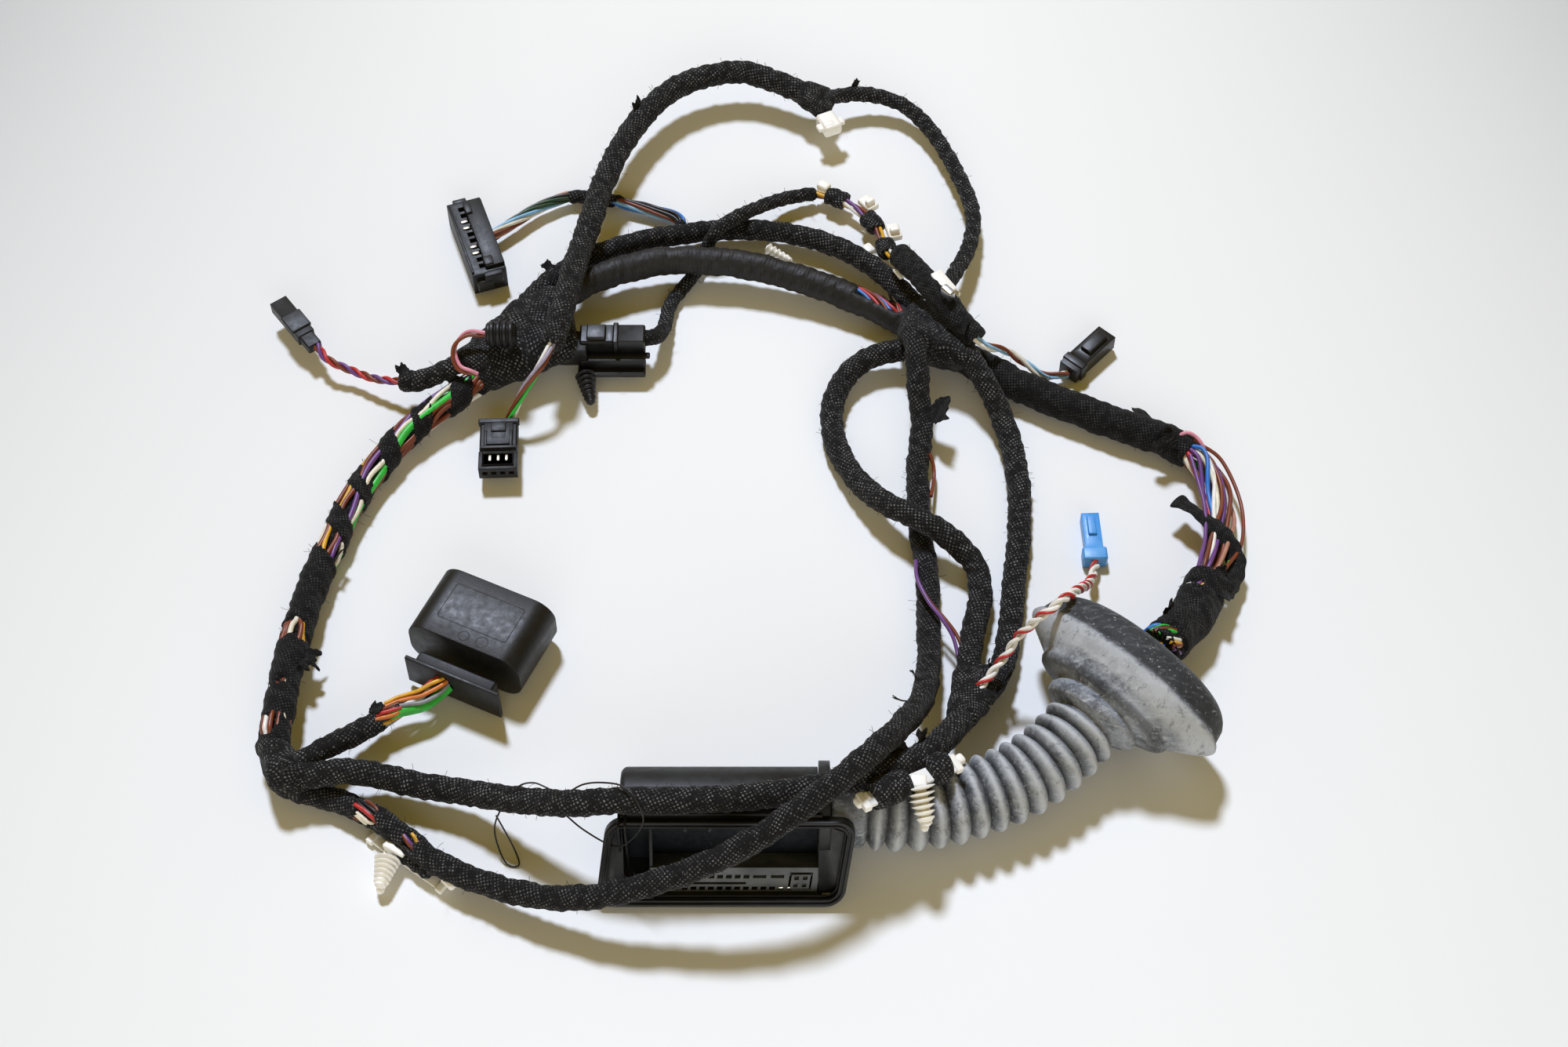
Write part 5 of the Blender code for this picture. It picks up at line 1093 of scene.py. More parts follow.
housing = {"front": (.0045, -.2030, 0.0), "mouthHalf": .0458, "mouthShift": .0020,
           "mouthHeight": .0366, "tilt": 30.0, "lean": .0025, "lipDepth": .0034, "lipWidth": .0028,
           "left": -.0370, "right": .0375, "back": .0215, "wall": .0013, "floor": .0004, "top": .0328,
           "cornerRadius": .0065}
mouthTilt = math.radians(housing["tilt"])
mouthUp = Vector((0.0, math.sin(mouthTilt), math.cos(mouthTilt)))
mouthOut = Vector((0.0, -math.cos(mouthTilt), math.sin(mouthTilt)))
mouthBase = Vector(housing["front"]) + Vector(
    (0.0, 0.0, .0001 + housing["lipDepth"] * math.sin(mouthTilt)))


def mouthPoint(u, v, out):
    # A point from its place across, up and in front of the mouth's plane
    share = v / housing["mouthHeight"] * 2 - 1
    across = u + housing["mouthShift"] + housing["lean"] * share
    return mouthBase + Vector((across, 0, 0)) + mouthUp * v + mouthOut * out


def cornerArcs(steps):
    # Round a rounded outline: each corner's signs, then the direction of each point of its arc
    for quarter, (sideSign, upSign) in enumerate(((1, 1), (-1, 1), (-1, -1), (1, -1))):
        for step in range(steps + 1):
            angle = math.pi / 2 * (quarter + step / steps)
            yield sideSign, upSign, math.cos(angle), math.sin(angle)


def mouthLoop(inset, radius, out):
    # Points of a rounded outline in the mouth's plane
    half = housing["mouthHalf"] - inset - radius
    heights = {1: housing["mouthHeight"] - inset - radius, -1: inset + radius}
    return [mouthPoint(sideSign * half + radius * cosine, heights[upSign] + radius * sine, out)
            for sideSign, upSign, cosine, sine in cornerArcs(7)]


def grownSolid(outline, shift):
    # A flat outline swept along a vector
    bm = bmesh.new()
    face = bm.faces.new([bm.verts.new(point) for point in outline])
    grown = bmesh.ops.extrude_face_region(bm, geom=[face])
    bmesh.ops.translate(bm, vec=shift, verts=[g for g in grown["geom"] if isinstance(g, bmesh.types.BMVert)])
    bmesh.ops.recalc_face_normals(bm, faces=bm.faces)
    return bm


def hiddenObject(name, bm):
    return linked(name, meshFrom(bm, name))


def combined(name, base, finish, width, steps=(), replaced=(), angle=30, segments=2):
    # The base with shapes joined to it or cut from it, and its edges eased
    for operation, other in steps:
        step = base.modifiers.new(operation.lower(), "BOOLEAN")
        step.operation = operation
        step.solver = "EXACT"
        step.object = other
    if width:
        soft = base.modifiers.new("eased", "BEVEL")
        soft.width = width
        soft.segments = segments
        soft.profile = 0.5
        soft.limit_method = "ANGLE"
        soft.angle_limit = math.radians(angle)
        soft.harden_normals = False
    mesh = evaluatedMesh(base, finish)
    for _, other in steps:
        bpy.data.objects.remove(other, do_unlink=True)
    return addObject(name, mesh, replaced, 34)


frontX, frontY, _ = housing["front"]
left, right, back, top = (housing[key] for key in ("left", "right", "back", "top"))
wall, floorHeight, lipDepth, lipWidth = (housing[key] for key in ("wall", "floor", "lipDepth", "lipWidth"))
inFloor = floorHeight + wall
inTop = top - wall


def sideShape(name, corners, low, high):
    # A hidden solid with the given corners from the side, from one place across to another
    outline = [(frontX + low, frontY + y, z) for y, z in corners]
    return hiddenObject(name, grownSolid(outline, (high - low, 0, 0)))


def sidePlace(point):
    return point.y - frontY, point.z


bottomFront = mouthPoint(0, .002, -lipDepth / 2)
topFront = mouthPoint(0, housing["mouthHeight"] - .002, -lipDepth / 2)
bodySolid = sideShape("housing_guide", [
    (bottomFront.y - frontY, floorHeight), (back, floorHeight), (back, top), sidePlace(topFront)],
    left, right)
lipSolid = grownSolid(mouthLoop(0, housing["cornerRadius"], 0), -mouthOut * lipDepth)
steps = [("UNION", hiddenObject("lip_guide", lipSolid))]
for sideSign, edge in ((-1, left), (1, right)):
    # the sides flare out from the body to the lip
    bm = bmesh.new()
    corners = [(frontX + edge, frontY + back - .001, z) for z in (floorHeight, top - .001)]
    corners += [(frontX + edge, bottomFront.y + .004, floorHeight)]
    corners += [mouthPoint(sideSign * (housing["mouthHalf"] - inset), v, -lipDepth + .0006)
                for v in (.004, .010, .024, .0315) for inset in (.0012, .0090)]
    bmesh.ops.convex_hull(bm, input=[bm.verts.new(corner) for corner in corners])
    bmesh.ops.recalc_face_normals(bm, faces=bm.faces)
    steps.append(("UNION", hiddenObject("flare_guide", bm)))
sill = mouthPoint(0, lipWidth, .0003 - lipDepth)
lintel = mouthPoint(0, housing["mouthHeight"] - lipWidth, .0003 - lipDepth)
steps.append(("DIFFERENCE", sideShape("cavity_guide", [
    (sill.y - frontY, inFloor), (back + .002, inFloor), (back + .002, inTop), sidePlace(lintel)],
    left + wall, right - wall)))
steps.append(("DIFFERENCE", hiddenObject("opening_guide", grownSolid(
    mouthLoop(lipWidth, .0042, .002), -mouthOut * .0070))))
combined("housing_body_moulding", bodySolid, slatePlastic, .0004, steps, ("housing_body",))

# beads round the mouth, each with its inset, corner radius, place in front of the mouth and girth
beadSetup = ((.0007, .0062, .00010, .00075), (.0024, .0046, .00005, .00045), (.0031, .0041, -.0024, .0004))
beadLines = []
for inset, radius, out, girth in beadSetup:
    loop = np.array([tuple(point) for point in mouthLoop(inset, radius, out)])
    beadLines.append((evenLine(np.vstack([loop, loop[:2]]), .0010), girth, 0))
addObject("mouth_beads", linesMesh("mouth_beads", beadLines, 8, [slatePlastic]))

# the cavity's back and a wall in it
gap = .0002
backWall = sideShape("cavity_back_guide", [
    (back - .0012, inFloor + gap), (back - gap, inFloor + gap), (back - gap, inTop - gap),
    (back - .0012, inTop - gap)], left + wall + gap, right - wall - gap)
combined("cavity_back", backWall, cavityPlastic, 0)
ribSetup = {"x": -.0262, "thickness": .0012, "low": .0040, "high": .0300}
rib = sideShape("rib_guide", [
    sidePlace(mouthPoint(0, .010, -.0060)), (back - .001, ribSetup["low"]), (back - .001, top - .0026),
    sidePlace(mouthPoint(0, ribSetup["high"], -.0065))], ribSetup["x"], ribSetup["x"] + ribSetup["thickness"])
combined("cavity_rib", rib, slatePlastic, .0002)
hookSetup = {"places": (-.0172, -.0082), "width": .0014, "drop": .0030, "depth": .0035}
hookTop = housing["mouthHeight"] - lipWidth + .0004
hookShape = ((hookTop, -.0008), (hookTop - hookSetup["drop"], -.0012),
             (hookTop - hookSetup["drop"] * .72, -.0040), (hookTop, -hookSetup["depth"] - .0010))
for number, x in enumerate(hookSetup["places"]):
    bm = bmesh.new()
    for u in (x, x + hookSetup["width"]):
        for v, out in hookShape:
            bm.verts.new(mouthPoint(u, v, out))
    bmesh.ops.convex_hull(bm, input=bm.verts)
    combined(f"mouth_hook_{number}", hiddenObject(f"hook_guide_{number}", bm), slatePlastic, .0002)

# cover: raised panel with a step, two end flanges
panelSetup = {"front": .0205, "rear": .0335, "rise": .0009, "inset": .0015}
front, rear, rise, inset = panelSetup.values()
panel = sideShape("panel_guide", [
    (front, top - .0006), (rear, top - .0006), (rear - .0006, top + rise - .0002),
    (front + .0006, top + rise)], left + inset, right - inset * 4)
combined("cover_panel", panel, slatePlastic, .0004)
flangeSetup = {"places": (-.0372, -.0348), "thickness": .0009, "grow": .0010}
rim = top + flangeSetup["grow"]
for number, x in enumerate(flangeSetup["places"]):
    flange = sideShape(f"flange_guide_{number}", [
        (back - .007, .004), (back + .010, .004), (back + .010, top), (back + .006, rim), (back - .006, rim),
        (back - .007, top - .002)], x, x + flangeSetup["thickness"])
    combined(f"cover_flange_{number}", flange, slatePlastic, .0003)

# contact block, low in the mouth: rows of square openings and a raised four-way insert
blockSetup = {"left": -.0272, "right": .0356, "low": .0026, "high": .0133, "face": -.0055, "depth": .0014,
              "bodyLow": .0085, "bodyDepth": .0100,
              "pitch": .00324, "hole": (.0022, .0017), "topRow": .0095, "lowRow": .0043,
              "slot": (.0066, .0010), "insertAt": (.0290, .0076), "recess": (.0086, .0074),
              "insert": (.0070, .0060), "insertHole": .0017, "insertPitch": .0032}


def mouthBox(u, v, width, height, front, depth):
    # The eight corners of a box that stands on the mouth's plane
    return [mouthPoint(u + a * width / 2, v + b * height / 2, front - c * depth)
            for a in (-1, 1) for b in (-1, 1) for c in (0, 1)]


def boxes(name, corners):
    # One object of separate boxes, each from its eight corners
    bm = bmesh.new()
    for box in corners:
        bmesh.ops.convex_hull(bm, input=[bm.verts.new(corner) for corner in box])
    bmesh.ops.recalc_face_normals(bm, faces=bm.faces)
    return hiddenObject(name, bm)


face, hole, pitch = (blockSetup[key] for key in ("face", "hole", "pitch"))
low, high, bodyLow = (blockSetup[key] for key in ("low", "high", "bodyLow"))
insertAt, insertHole = (blockSetup[key] for key in ("insertAt", "insertHole"))
topRow, lowRow = (blockSetup[key] for key in ("topRow", "lowRow"))
middle = (blockSetup["left"] + blockSetup["right"]) / 2
wide = blockSetup["right"] - blockSetup["left"]
tall = high - low
cutFront = face + .001
cutDepth = .0030
block = boxes("block_guide", [mouthBox(middle, low + tall / 2, wide, tall, face, blockSetup["depth"])])
blockBody = boxes("block_body_guide", [mouthBox(
    middle, (bodyLow + high) / 2 - .0001, wide - .0004, high - bodyLow - .0002, face - .0012,
    blockSetup["bodyDepth"])])
holes = [mouthBox(.0088 - pitch * k, topRow, *hole, cutFront, cutDepth) for k in range(11)]
holes += [mouthBox(u, topRow, .0050, .0014, cutFront, cutDepth) for u in (.0137, .0203)]
holes += [mouthBox(.0222 - pitch * k, lowRow, *hole, cutFront, cutDepth) for k in range(14)]
holes.append(mouthBox(-.0060, blockSetup["slot"][0], .0300, blockSetup["slot"][1], cutFront, .0026))
holes.append(mouthBox(*insertAt, *blockSetup["recess"], cutFront, cutDepth))
combined("terminal_block_moulding", block, blockPlastic, .00012,
         [("UNION", blockBody), ("DIFFERENCE", boxes("holes_guide", holes))], ("terminal_block",), segments=1)
insert = boxes("insert_guide", [mouthBox(*insertAt, *blockSetup["insert"], face + .0006, cutDepth)])
halfPitch = blockSetup["insertPitch"] / 2
holes = [mouthBox(insertAt[0] + x * halfPitch, insertAt[1] + y * halfPitch, insertHole, insertHole,
                  face + .002, cutDepth) for x in (-1, 1) for y in (-1, 1)]
combined("four_way_insert_moulding", insert, blockPlastic, .00015,
         [("DIFFERENCE", boxes("insert_holes_guide", holes))], ("four_way_insert",), segments=1)
tins = boxes("tins_guide", [mouthBox(.0222 - pitch * k, lowRow, .0019, .0014, face + .0001, .0020)
                            for k in (-1, 0)])
combined("block_tins", tins, tinnedMetal, .0002)
print("housing made")


# Oval connector shell

ovalSetup = {"place": (-.0834, -.0753, .0122), "turn": 155.0, "width": .0492, "height": .0240, "depth": .0300,
             "wall": .0016, "floor": .0060, "radius": .0086, "panel": (.0300, .0166), "panelAt": .0142,
             "marks": ((.0010, .0263, .0021), (-.0068, .0261, .0024)), "markGirth": .00020}
ovalPlace = Matrix.Translation(ovalSetup["place"]) @ Matrix.Rotation(math.radians(ovalSetup["turn"]), 4, "Z")


def roundedLoop(width, height, radius, steps, y):
    # Points of a rounded outline that stands at y
    return [(sideSign * (width / 2 - radius) + radius * cosine, y,
             upSign * (height / 2 - radius) + radius * sine)
            for sideSign, upSign, cosine, sine in cornerArcs(steps)]


width, height, depth, radius = (ovalSetup[key] for key in ("width", "height", "depth", "radius"))
wall, girth = ovalSetup["wall"], ovalSetup["markGirth"]
shell = hiddenObject("oval_guide", grownSolid(roundedLoop(width, height, radius, 12, 0.0), (0, depth, 0)))
inside = hiddenObject("oval_inside_guide", grownSolid(
    roundedLoop(width - 2 * wall, height - 2 * wall, radius - wall, 12, -.001),
    (0, depth - ovalSetup["floor"] + .001, 0)))
ovalPiece = combined("oval_shell_moulding", shell, satinBlack, .00035, [("DIFFERENCE", inside)],
                     ("oval_shell",), 40)
ovalPiece.data.transform(ovalPlace)
# outline of the panel and the two round ejector marks, as fine raised lines
topHeight = height / 2 - girth * .4
outlines = [[(x, ovalSetup["panelAt"] + z, topHeight)
             for x, _, z in roundedLoop(*ovalSetup["panel"], .0012, 3, 0)]]
outlines += [[(x + across, z + along, topHeight)
              for across, _, z in roundedLoop(2 * size, 2 * size, size, 5, 0)]
             for x, along, size in ovalSetup["marks"]]
outlines = [(evenLine(np.array(loop + loop[:2]), .0006), girth, 0) for loop in outlines]
mesh = linesMesh("oval_outlines", outlines, 8, [satinBlack])
mesh.transform(ovalPlace)
addObject("oval_outlines", mesh)
print("oval connector made")


# Small things: torn tape, threads, white stem, metal terminals

def thickSheet(name, bm, thickness, offset, finish):
    # A sheet's mesh, given its thickness and softened
    holder = linked(name + "_guide", meshFrom(bm, name))
    thick = holder.modifiers.new("thickness", "SOLIDIFY")
    thick.thickness = thickness
    thick.offset = offset
    soft = holder.modifiers.new("soft", "SUBSURF")
    soft.levels = 1
    soft.render_levels = 1
    return evaluatedMesh(holder, finish)


def sheetFlap(name, place, length, width, curl, seed, finish=matTape, thickness=.00028):
    # A loose bit of tape: local X away from where it is held, Z its face
    rng = np.random.default_rng(seed)
    bm = bmesh.new()
    bmesh.ops.create_grid(bm, x_segments=12, y_segments=8, size=0.5)
    ragged = rng.uniform(-1, 1, 12)
    for vertex in bm.verts:
        u, v = vertex.co.x + 0.5, vertex.co.y
        edge = 1 + 0.22 * ragged[int(abs(v) * 16) % 8] * u + 0.10 * math.sin(17 * v + seed) * u
        reach = length * u * edge
        bend = curl * u
        curved = abs(bend) > 1e-4
        x = reach * (math.sin(bend) / bend if curved else 1)
        z = reach * ((1 - math.cos(bend)) / bend if curved else 0)
        side = v * width * (1 + 0.16 * ragged[int(u * 3.9) + 8] + 0.05 * math.sin(23 * u + seed))
        z += 0.10 * width * math.sin(5 * v + 4 * u + seed) * u
        vertex.co = (x, side, z)
    mesh = thickSheet(name, bm, thickness, 0, finish)
    mesh.transform(place)
    spots = spotsOf(mesh)
    spots[:, 2] = np.maximum(spots[:, 2], tapeFloor)
    mesh.vertices.foreach_set("co", spots.ravel())
    setFloats(mesh, along=spots[:, 0] * 1.3 + spots[:, 1], around=spots[:, 1] * 1.3 - spots[:, 0])
    return addObject(name, mesh, (), 60)


def onBundle(name, distance, degrees, heading, tiltUp, sink=.0004):
    # Place on a bundle's skin: degrees round it from the top, heading from its line, tilt outward
    radius = bundles[name]["diameter"] / 2 if name in bundles else .002
    place = frameAt(lines[name], distance)
    turn = Matrix.Rotation(-math.radians(degrees), 4, "Z")
    out = place @ turn @ Matrix.Translation((0, radius - sink, 0))
    # local X along the bundle, Z outward
    basis = Matrix(((0, 1, 0, 0), (0, 0, 1, 0), (1, 0, 0, 0), (0, 0, 0, 1)))
    return (out @ basis @ Matrix.Rotation(math.radians(heading), 4, "Z")
            @ Matrix.Rotation(-math.radians(tiltUp), 4, "Y"))


# each flap's bundle, distance along it, degrees round it, heading, tilt, length, width and curl
flaps = [("left_stub", .003, 20, 160, 35, .0045, .0060, .7),
         ("left_stub", .006, -60, 120, 30, .0040, .0050, .7),
         ("left_trunk", .020, -70, 60, 35, .0050, .0050, .8),
         ("left_trunk", .118, 70, -100, 25, .0040, .0060, .6),
         ("left_trunk", .168, 75, -90, 60, .0070, .0090, 2.4),
         ("left_trunk", .172, 60, -120, 50, .0060, .0080, 2.8),
         ("right_trunk", .088, 70, 110, 15, .0100, .0120, .4),
         ("right_trunk", .104, -55, 150, 30, .0095, .0100, .6),
         ("right_trunk", .100, -20, 150, 20, .0040, .0060, .5),
         ("lower_branch", .4590, -70, 75, 45, .0105, .0110, .5),
         ("lower_branch", .3200, 60, -60, 40, .0050, .0060, .7),
         ("right_fork", .014, -60, 100, 25, .0065, .0060, .8),
         ("right_fork", .006, -80, 80, 20, .0045, .0050, .5),
         ("right_fork", .009, 40, -60, 30, .0070, .0065, .8),
         ("upper_branch", .250, 60, -120, 45, .0060, .0070, .9),
         ("upper_branch", .262, 50, -80, 35, .0050, .0070, .8),
         ("lower_branch", .300, 60, 120, 35, .0060, .0060, .9),
         ("loop_branch", .148, 40, -90, 30, .0050, .0055, .9),
         ("loop_branch", .110, -70, 100, 25, .0035, .0045, .6),
         ("thin_loop", .018, 60, -60, 30, .0040, .0040, .6),
         ("rear_branch", .030, 30, 90, 30, .0045, .0050, .6),
         ("row_sleeve", .052, -40, 40, 15, .0040, .0090, .5),
         ("arc_trunk", .165, 50, -140, 25, .0060, .0070, .5),
         ("taped_sleeve", .004, 40, 150, 20, .0045, .0110, .4),
         ("taped_sleeve", .030, -60, 90, 25, .0040, .0080, .5),
         ("connector_branch", .046, 30, 30, 10, .0050, .0060, .3),
         ("comb_branch", .010, 40, 20, 15, .0030, .0040, .4)]
for number, (name, distance, degrees, heading, tiltUp, *shape) in enumerate(flaps):
    sheetFlap(f"torn_tape_{number:02d}", onBundle(name, distance, degrees, heading, tiltUp), *shape,
              60 + number)
scrap = Matrix.Translation((.0358, .1985, .0125)) @ Matrix.Rotation(math.radians(150), 4, "Z")
sheetFlap("white_scrap", scrap, .0080, .0050, .5, 95, whiteNylon, .0006)

# thread loops round the upper branch
threads = {
    "thread_loop_1": [(-.0585, -.1699, .0315), (-.0644, -.1672, .0310), (-.0702, -.1683, .0295),
                      (-.0764, -.1727, .0220), (-.0799, -.1761, .0100), (-.0761, -.1845, .0012),
                      (-.0710, -.1854, .0010), (-.0732, -.1795, .0040), (-.0785, -.1749, .0200)],
    "thread_loop_2": [(-.0525, -.1786, .0280), (-.0458, -.1809, .0200), (-.0351, -.1894, .0240),
                      (-.0291, -.1909, .0285), (-.0230, -.1879, .0380), (-.0251, -.1827, .0455),
                      (-.0301, -.1772, .0460), (-.0375, -.1739, .0430), (-.0449, -.1723, .0390),
                      (-.0507, -.1739, .0360)],
}
threadGirth = .00034
for name, route in threads.items():
    line = smoothLine(route)
    mesh = linesMesh(name, [(line, threadGirth, 0)], 8, [wireMaterials["black"]])
    piece = addObject(name, mesh)
    declareCord(line, threadGirth * 2)

# loose strip of tape that hangs round the wires at the right end
strip = smoothLine([(.1870, -.0250, .0105), (.1950, -.0330, .0125), (.2040, -.0430, .0110),
                    (.2085, -.0540, .0090), (.2050, -.0660, .0105), (.1985, -.0760, .0160)], .0016)
stripSetup = {"width": .0085, "bulge": .0012, "thickness": .00035}
last = len(strip) - 1
bm = bmesh.new()
bmesh.ops.create_grid(bm, x_segments=last, y_segments=4, size=0.5)
side, up = lineFrames(strip)
for vertex in bm.verts:
    k = min(int(round((vertex.co.x + 0.5) * last)), last)
    v = vertex.co.y * stripSetup["width"] * (1 + .12 * math.sin(k * 1.7))
    roll = .5 * math.sin(k * .25)
    bulge = stripSetup["bulge"] * (1 - (2 * vertex.co.y) ** 2)
    vertex.co = strip[k] + (side[k] * v * math.cos(roll) + up[k] * (v * math.sin(roll) + bulge))
mesh = thickSheet("loose_strip", bm, stripSetup["thickness"], -1, matTape)
spots = spotsOf(mesh)
setFloats(mesh, along=spots[:, 0] + spots[:, 1], around=spots[:, 0] - spots[:, 1])
addObject("loose_strip", mesh, (), 60)

# bands of tape that hold the white clips to the bundles
# first and last point, diameter and seed of each
clipBands = {
    "right_clip_band_1": ((.0600, -.1790, .0418), (.0725, -.1714, .0386), .0118, 71),
    "right_clip_band_2": ((.0810, -.1662, .0366), (.0880, -.1618, .0348), .0112, 72),
    "left_clip_band": ((-.1150, -.1815, .0042), (-.1030, -.1905, .0048), .0070, 73),
}
for name, (first, last, diameter, seed) in clipBands.items():
    line = evenLine(np.array([first, last], float), .0008)
    tapedTube(name, line, diameter, clothTape, seed, pitch=.0060, ridge=.0004, lumps=.05)


def finStem(name, start, end, radius, core, fins, finish):
    # Barbed stem of a push-in clip, from start to its tip
    start, end = Vector(start), Vector(end)
    length = (end - start).length
    place = Matrix.Translation(start) @ (end - start).to_track_quat("Z", "Y").to_matrix().to_4x4()
    profile = [(0.0, core)]
    pitch = (length - .002) / fins
    for number in range(fins):
        root = .0006 + pitch * number
        reach = radius * (1 - .08 * number)
        profile += [(root, core), (root + .0003, reach), (root + .0006, reach), (root + pitch * .8, core)]
    profile += [(length - .001, core), (length, core * .4)]
    bm = bmesh.new()
    circles = [(place @ Matrix.Translation((0, 0, height)), girth) for height, girth in profile]
    loops = bridgedCircles(bm, circles, 20, False)
    for loop in (loops[0], loops[-1]):
        bmesh.ops.contextual_create(bm, geom=loop)
    bmesh.ops.recalc_face_normals(bm, faces=bm.faces)
    addObject(name, meshFrom(bm, name, finish), (), 35)


# start, tip, radius, core radius, number of barbs and material of each stem
finStems = {
    "white_fin_stem": ((.0205, .1128, .0075), (.0315, .1050, .0075), .0026, .0013, 5, whiteNylon),
    "black_fin_stem": ((-.0560, .0440, .0058), (-.0528, .0285, .0050), .0044, .0019, 6, blackNylon),
    "right_fin_stem": ((.0772, -.1725, .0392), (.0802, -.1855, .0312), .0058, .0022, 6, whiteNylon),
    "left_fin_stem": ((-.1193, -.1850, .0062), (-.1214, -.1978, .0062), .0050, .0022, 6, whiteNylon),
}
for name, facts in finStems.items():
    finStem(name, *facts)


def turnedPlace(spot, degrees):
    return Matrix.Translation(spot) @ Matrix.Rotation(math.radians(degrees), 4, "Z")


def easedBoxes(name, shapes, finish, segments):
    # One object of boxes, each with its place, its size and how far its edges are eased
    bm = bmesh.new()
    for place, size, eased in shapes:
        made = bmesh.ops.create_cube(bm, size=1.0, matrix=place @ Matrix.Diagonal((*size, 1.0)))["verts"]
        easeEdges(bm, list({edge for vertex in made for edge in vertex.link_edges}), eased, segments, False)
    addObject(name, meshFrom(bm, name, finish), (), 40)


# small connectors: ridges, trays and bright terminals, in each connector's own frame
connectorPlaces = {"four_pin": ((-.0892, -.0096, .0080), 2.1), "comb": ((-.1134, .1129, .0122), -70.7),
                   "coupling": ((-.0580, .0555, .0146), -90.0)}
connectorParts = [
    ("comb_ridge", "comb", blackNylon, [((0, .0110, .0002), (.0390, .0082, .0030)),
     ((-.0150, .0080, .0012), (.0060, .0030, .0030)),
     ((.0165, .0085, .0010), (.0050, .0040, .0026)), ((-.0222, .0060, -.0030), (.0026, .0060, .0060)),
     ((.0222, .0090, -.0030), (.0030, .0080, .0060)), ((0, .0006, .0002), (.0410, .0012, .0016))], .0004),
    ("comb_terminals", "comb", tinnedMetal, [((x, .0048, .0000), (.0016, .0032, .0012))
     for x in (-.0095, -.0057, .0057, .0095)], .0003),
    ("four_pin_latch", "four_pin", blackNylon, [((0, .0175, .0038), (.0120, .0110, .0010)),
     ((0, .0105, .0040), (.0150, .0014, .0012)), ((0, .0205, .0046), (.0060, .0045, .0010)),
     ((-.0052, .0150, .0043), (.0010, .0080, .0008)), ((.0052, .0150, .0043), (.0010, .0080, .0008))], .0002),
    ("four_pin_terminals", "four_pin", tinnedMetal, [((x, .0052, .0036), (.0013, .0030, .0008))
     for x in (-.0032, .0002, .0036)], .00025),
    ("coupling_web", "coupling", blackNylon, [((.0070, .0140, -.0055), (.0050, .0270, .0060)),
     ((.0030, -.0030, -.0020), (.0110, .0120, .0100)), ((.0062, .0150, -.0030), (.0030, .0290, .0014))],
     .0006),
]
for name, owner, finish, shapes, eased in connectorParts:
    base = turnedPlace(*connectorPlaces[owner])
    easedBoxes(name, [(base @ Matrix.Translation(spot), size, eased) for spot, size in shapes], finish, 2)
traySetup = {"at": (0, .0050, .0036), "size": (.0130, .0064, .0012), "rim": .0008, "sunk": .0009}
bm = bmesh.new()
bmesh.ops.create_cube(bm, size=1.0, matrix=turnedPlace(*connectorPlaces["four_pin"])
                      @ Matrix.Translation(traySetup["at"]) @ Matrix.Diagonal((*traySetup["size"], 1)))
topFace = max(bm.faces, key=lambda face: face.calc_center_median().z)
bmesh.ops.inset_region(bm, faces=[topFace], thickness=traySetup["rim"], depth=0)
bmesh.ops.translate(bm, vec=(0, 0, -traySetup["sunk"]), verts=topFace.verts)
addObject("four_pin_tray", meshFrom(bm, "four_pin_tray", blackNylon), (), 40)
collarLine = smoothLine([(-.0340, .0556, .0150), (-.0290, .0566, .0146), (-.0255, .0600, .0120),
                         (-.0236, .0665, .0080)])
tapedTube("small_branch_collar", collarLine, .0066, matTape, 81, pitch=.008, ridge=.0003)

# loose wires that run beside the bundles
sideWires = {
    "side_wires_1": ([(.0806, -.0553, .0095), (.0811, -.0651, .0122), (.0853, -.0758, .0130),
                      (.0905, -.0834, .0125), (.0951, -.0910, .0110), (.0972, -.1003, .0100),
                      (.0972, -.1085, .0125)], ["violet", "brown"], .0016),
    "side_wire_2": ([(.0879, -.0004, .0095), (.0895, -.0041, .0060), (.0896, -.0104, .0050),
                     (.0879, -.0211, .0080)], ["brown"], 0.0),
    "side_wires_3": ([(.0860, .0584, .0220), (.0876, .0551, .0200), (.0889, .0517, .0170)],
                     ["violet", "brown"], .0009),
    "pink_wire": ([(.1885, .0050, .0120), (.1942, .0067, .0142), (.1996, .0026, .0125),
                   (.2022, -.0060, .0085),
                   (.2040, -.0130, .0078)], ["pink"], 0.0),
}
for number, (name, (route, colours, ring)) in enumerate(sideWires.items()):
    line = smoothLine(route)
    piece = wireGroup(name, line, colours, ring, number, lay=.30)
    declareCord(line, 2 * (ring + bareGirth))

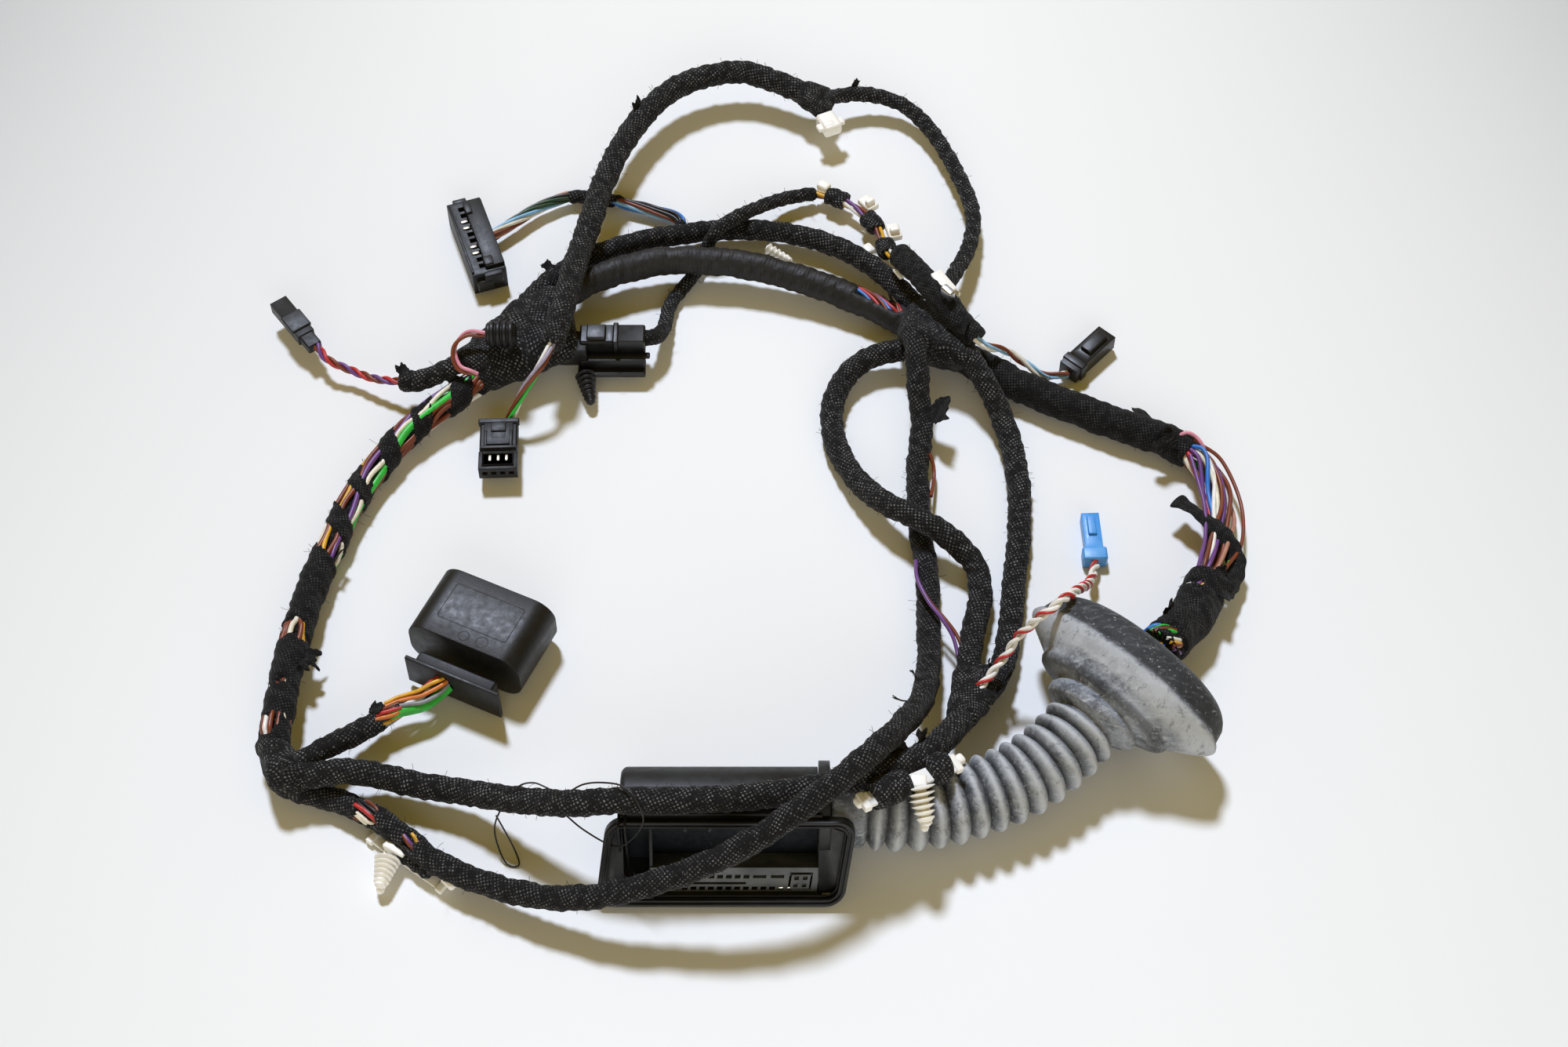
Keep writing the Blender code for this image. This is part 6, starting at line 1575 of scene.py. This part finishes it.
# ends and edges of the white clips that stand out of the tape: place, size and heading
clipBits = [((.0457, .1481, .0085), (.0058, .0046, .0032), -35),
            ((.0648, .1122, .0070), (.0056, .0050, .0030), -55),
            ((.0772, .0885, .0190), (.0062, .0030, .0016), -58),
            ((.0952, .0738, .0305), (.0126, .0056, .0014), -58),
            ((.0564, -.1805, .0420), (.0066, .0044, .0034), 35),
            ((.0925, -.1573, .0300), (.0052, .0042, .0032), 35),
            ((-.0958, -.1956, .0072), (.0066, .0038, .0034), -45),
            ((-.1167, -.1822, .0080), (.0092, .0036, .0016), -30),
            ((-.1192, -.1805, .0060), (.0050, .0038, .0032), -45),
            ((.0481, .1796, .0140), (.0058, .0046, .0034), 20)]
easedBoxes("white_clip_bits", [(turnedPlace(spot, heading), size, min(size) * .38)
                               for spot, size, heading in clipBits], whiteNylon, 3)

# fibres that stand off the woven tape
fibreSetup = {"perMetre": 420, "girth": .00008, "length": (.0010, .0026),
              "bundles": ("upper_branch", "lower_branch", "left_fork", "right_fork", "loop_branch",
                          "rear_branch",
                          "left_stub", "left_trunk", "thin_loop", "connector_branch", "row_sleeve",
                          "taped_sleeve",
                          "right_trunk", "small_branch")}
rng = random.Random(17)
fibres = []
for name in fibreSetup["bundles"]:
    total = distancesOf(lines[name])[-1]
    low, high = bundles[name]["start"] + .002, total - bundles[name]["end"] - .002
    radius = bundles[name]["diameter"] / 2
    for _ in range(int(fibreSetup["perMetre"] * (high - low))):
        place = frameAt(lines[name], rng.uniform(low, high))
        turn = rng.uniform(-2.2, 2.2)
        out = np.array(place.to_3x3() @ Vector((math.sin(turn), math.cos(turn), 0)))
        ahead = np.array(place.to_3x3() @ Vector((0, 0, 1))) * rng.uniform(-1, 1)
        root = np.array(place.translation) + out * (radius - .0004)
        length = rng.uniform(*fibreSetup["length"])
        bend = np.array([rng.uniform(-1, 1), rng.uniform(-1, 1), rng.uniform(-.4, .6)])
        points = np.array([root + length * (out * t + ahead * .6 * t + bend * .55 * t * t)
                           for t in (0, .35, .7, 1)])
        points[:, 2] = np.maximum(points[:, 2], .0003)
        fibres.append((points, fibreSetup["girth"], 0))
mesh = linesMesh("tape_fibres", fibres, 4, [matTape])
setFloats(mesh, along=np.zeros(len(mesh.vertices)), around=np.zeros(len(mesh.vertices)))
addObject("tape_fibres", mesh)
print("small things made")
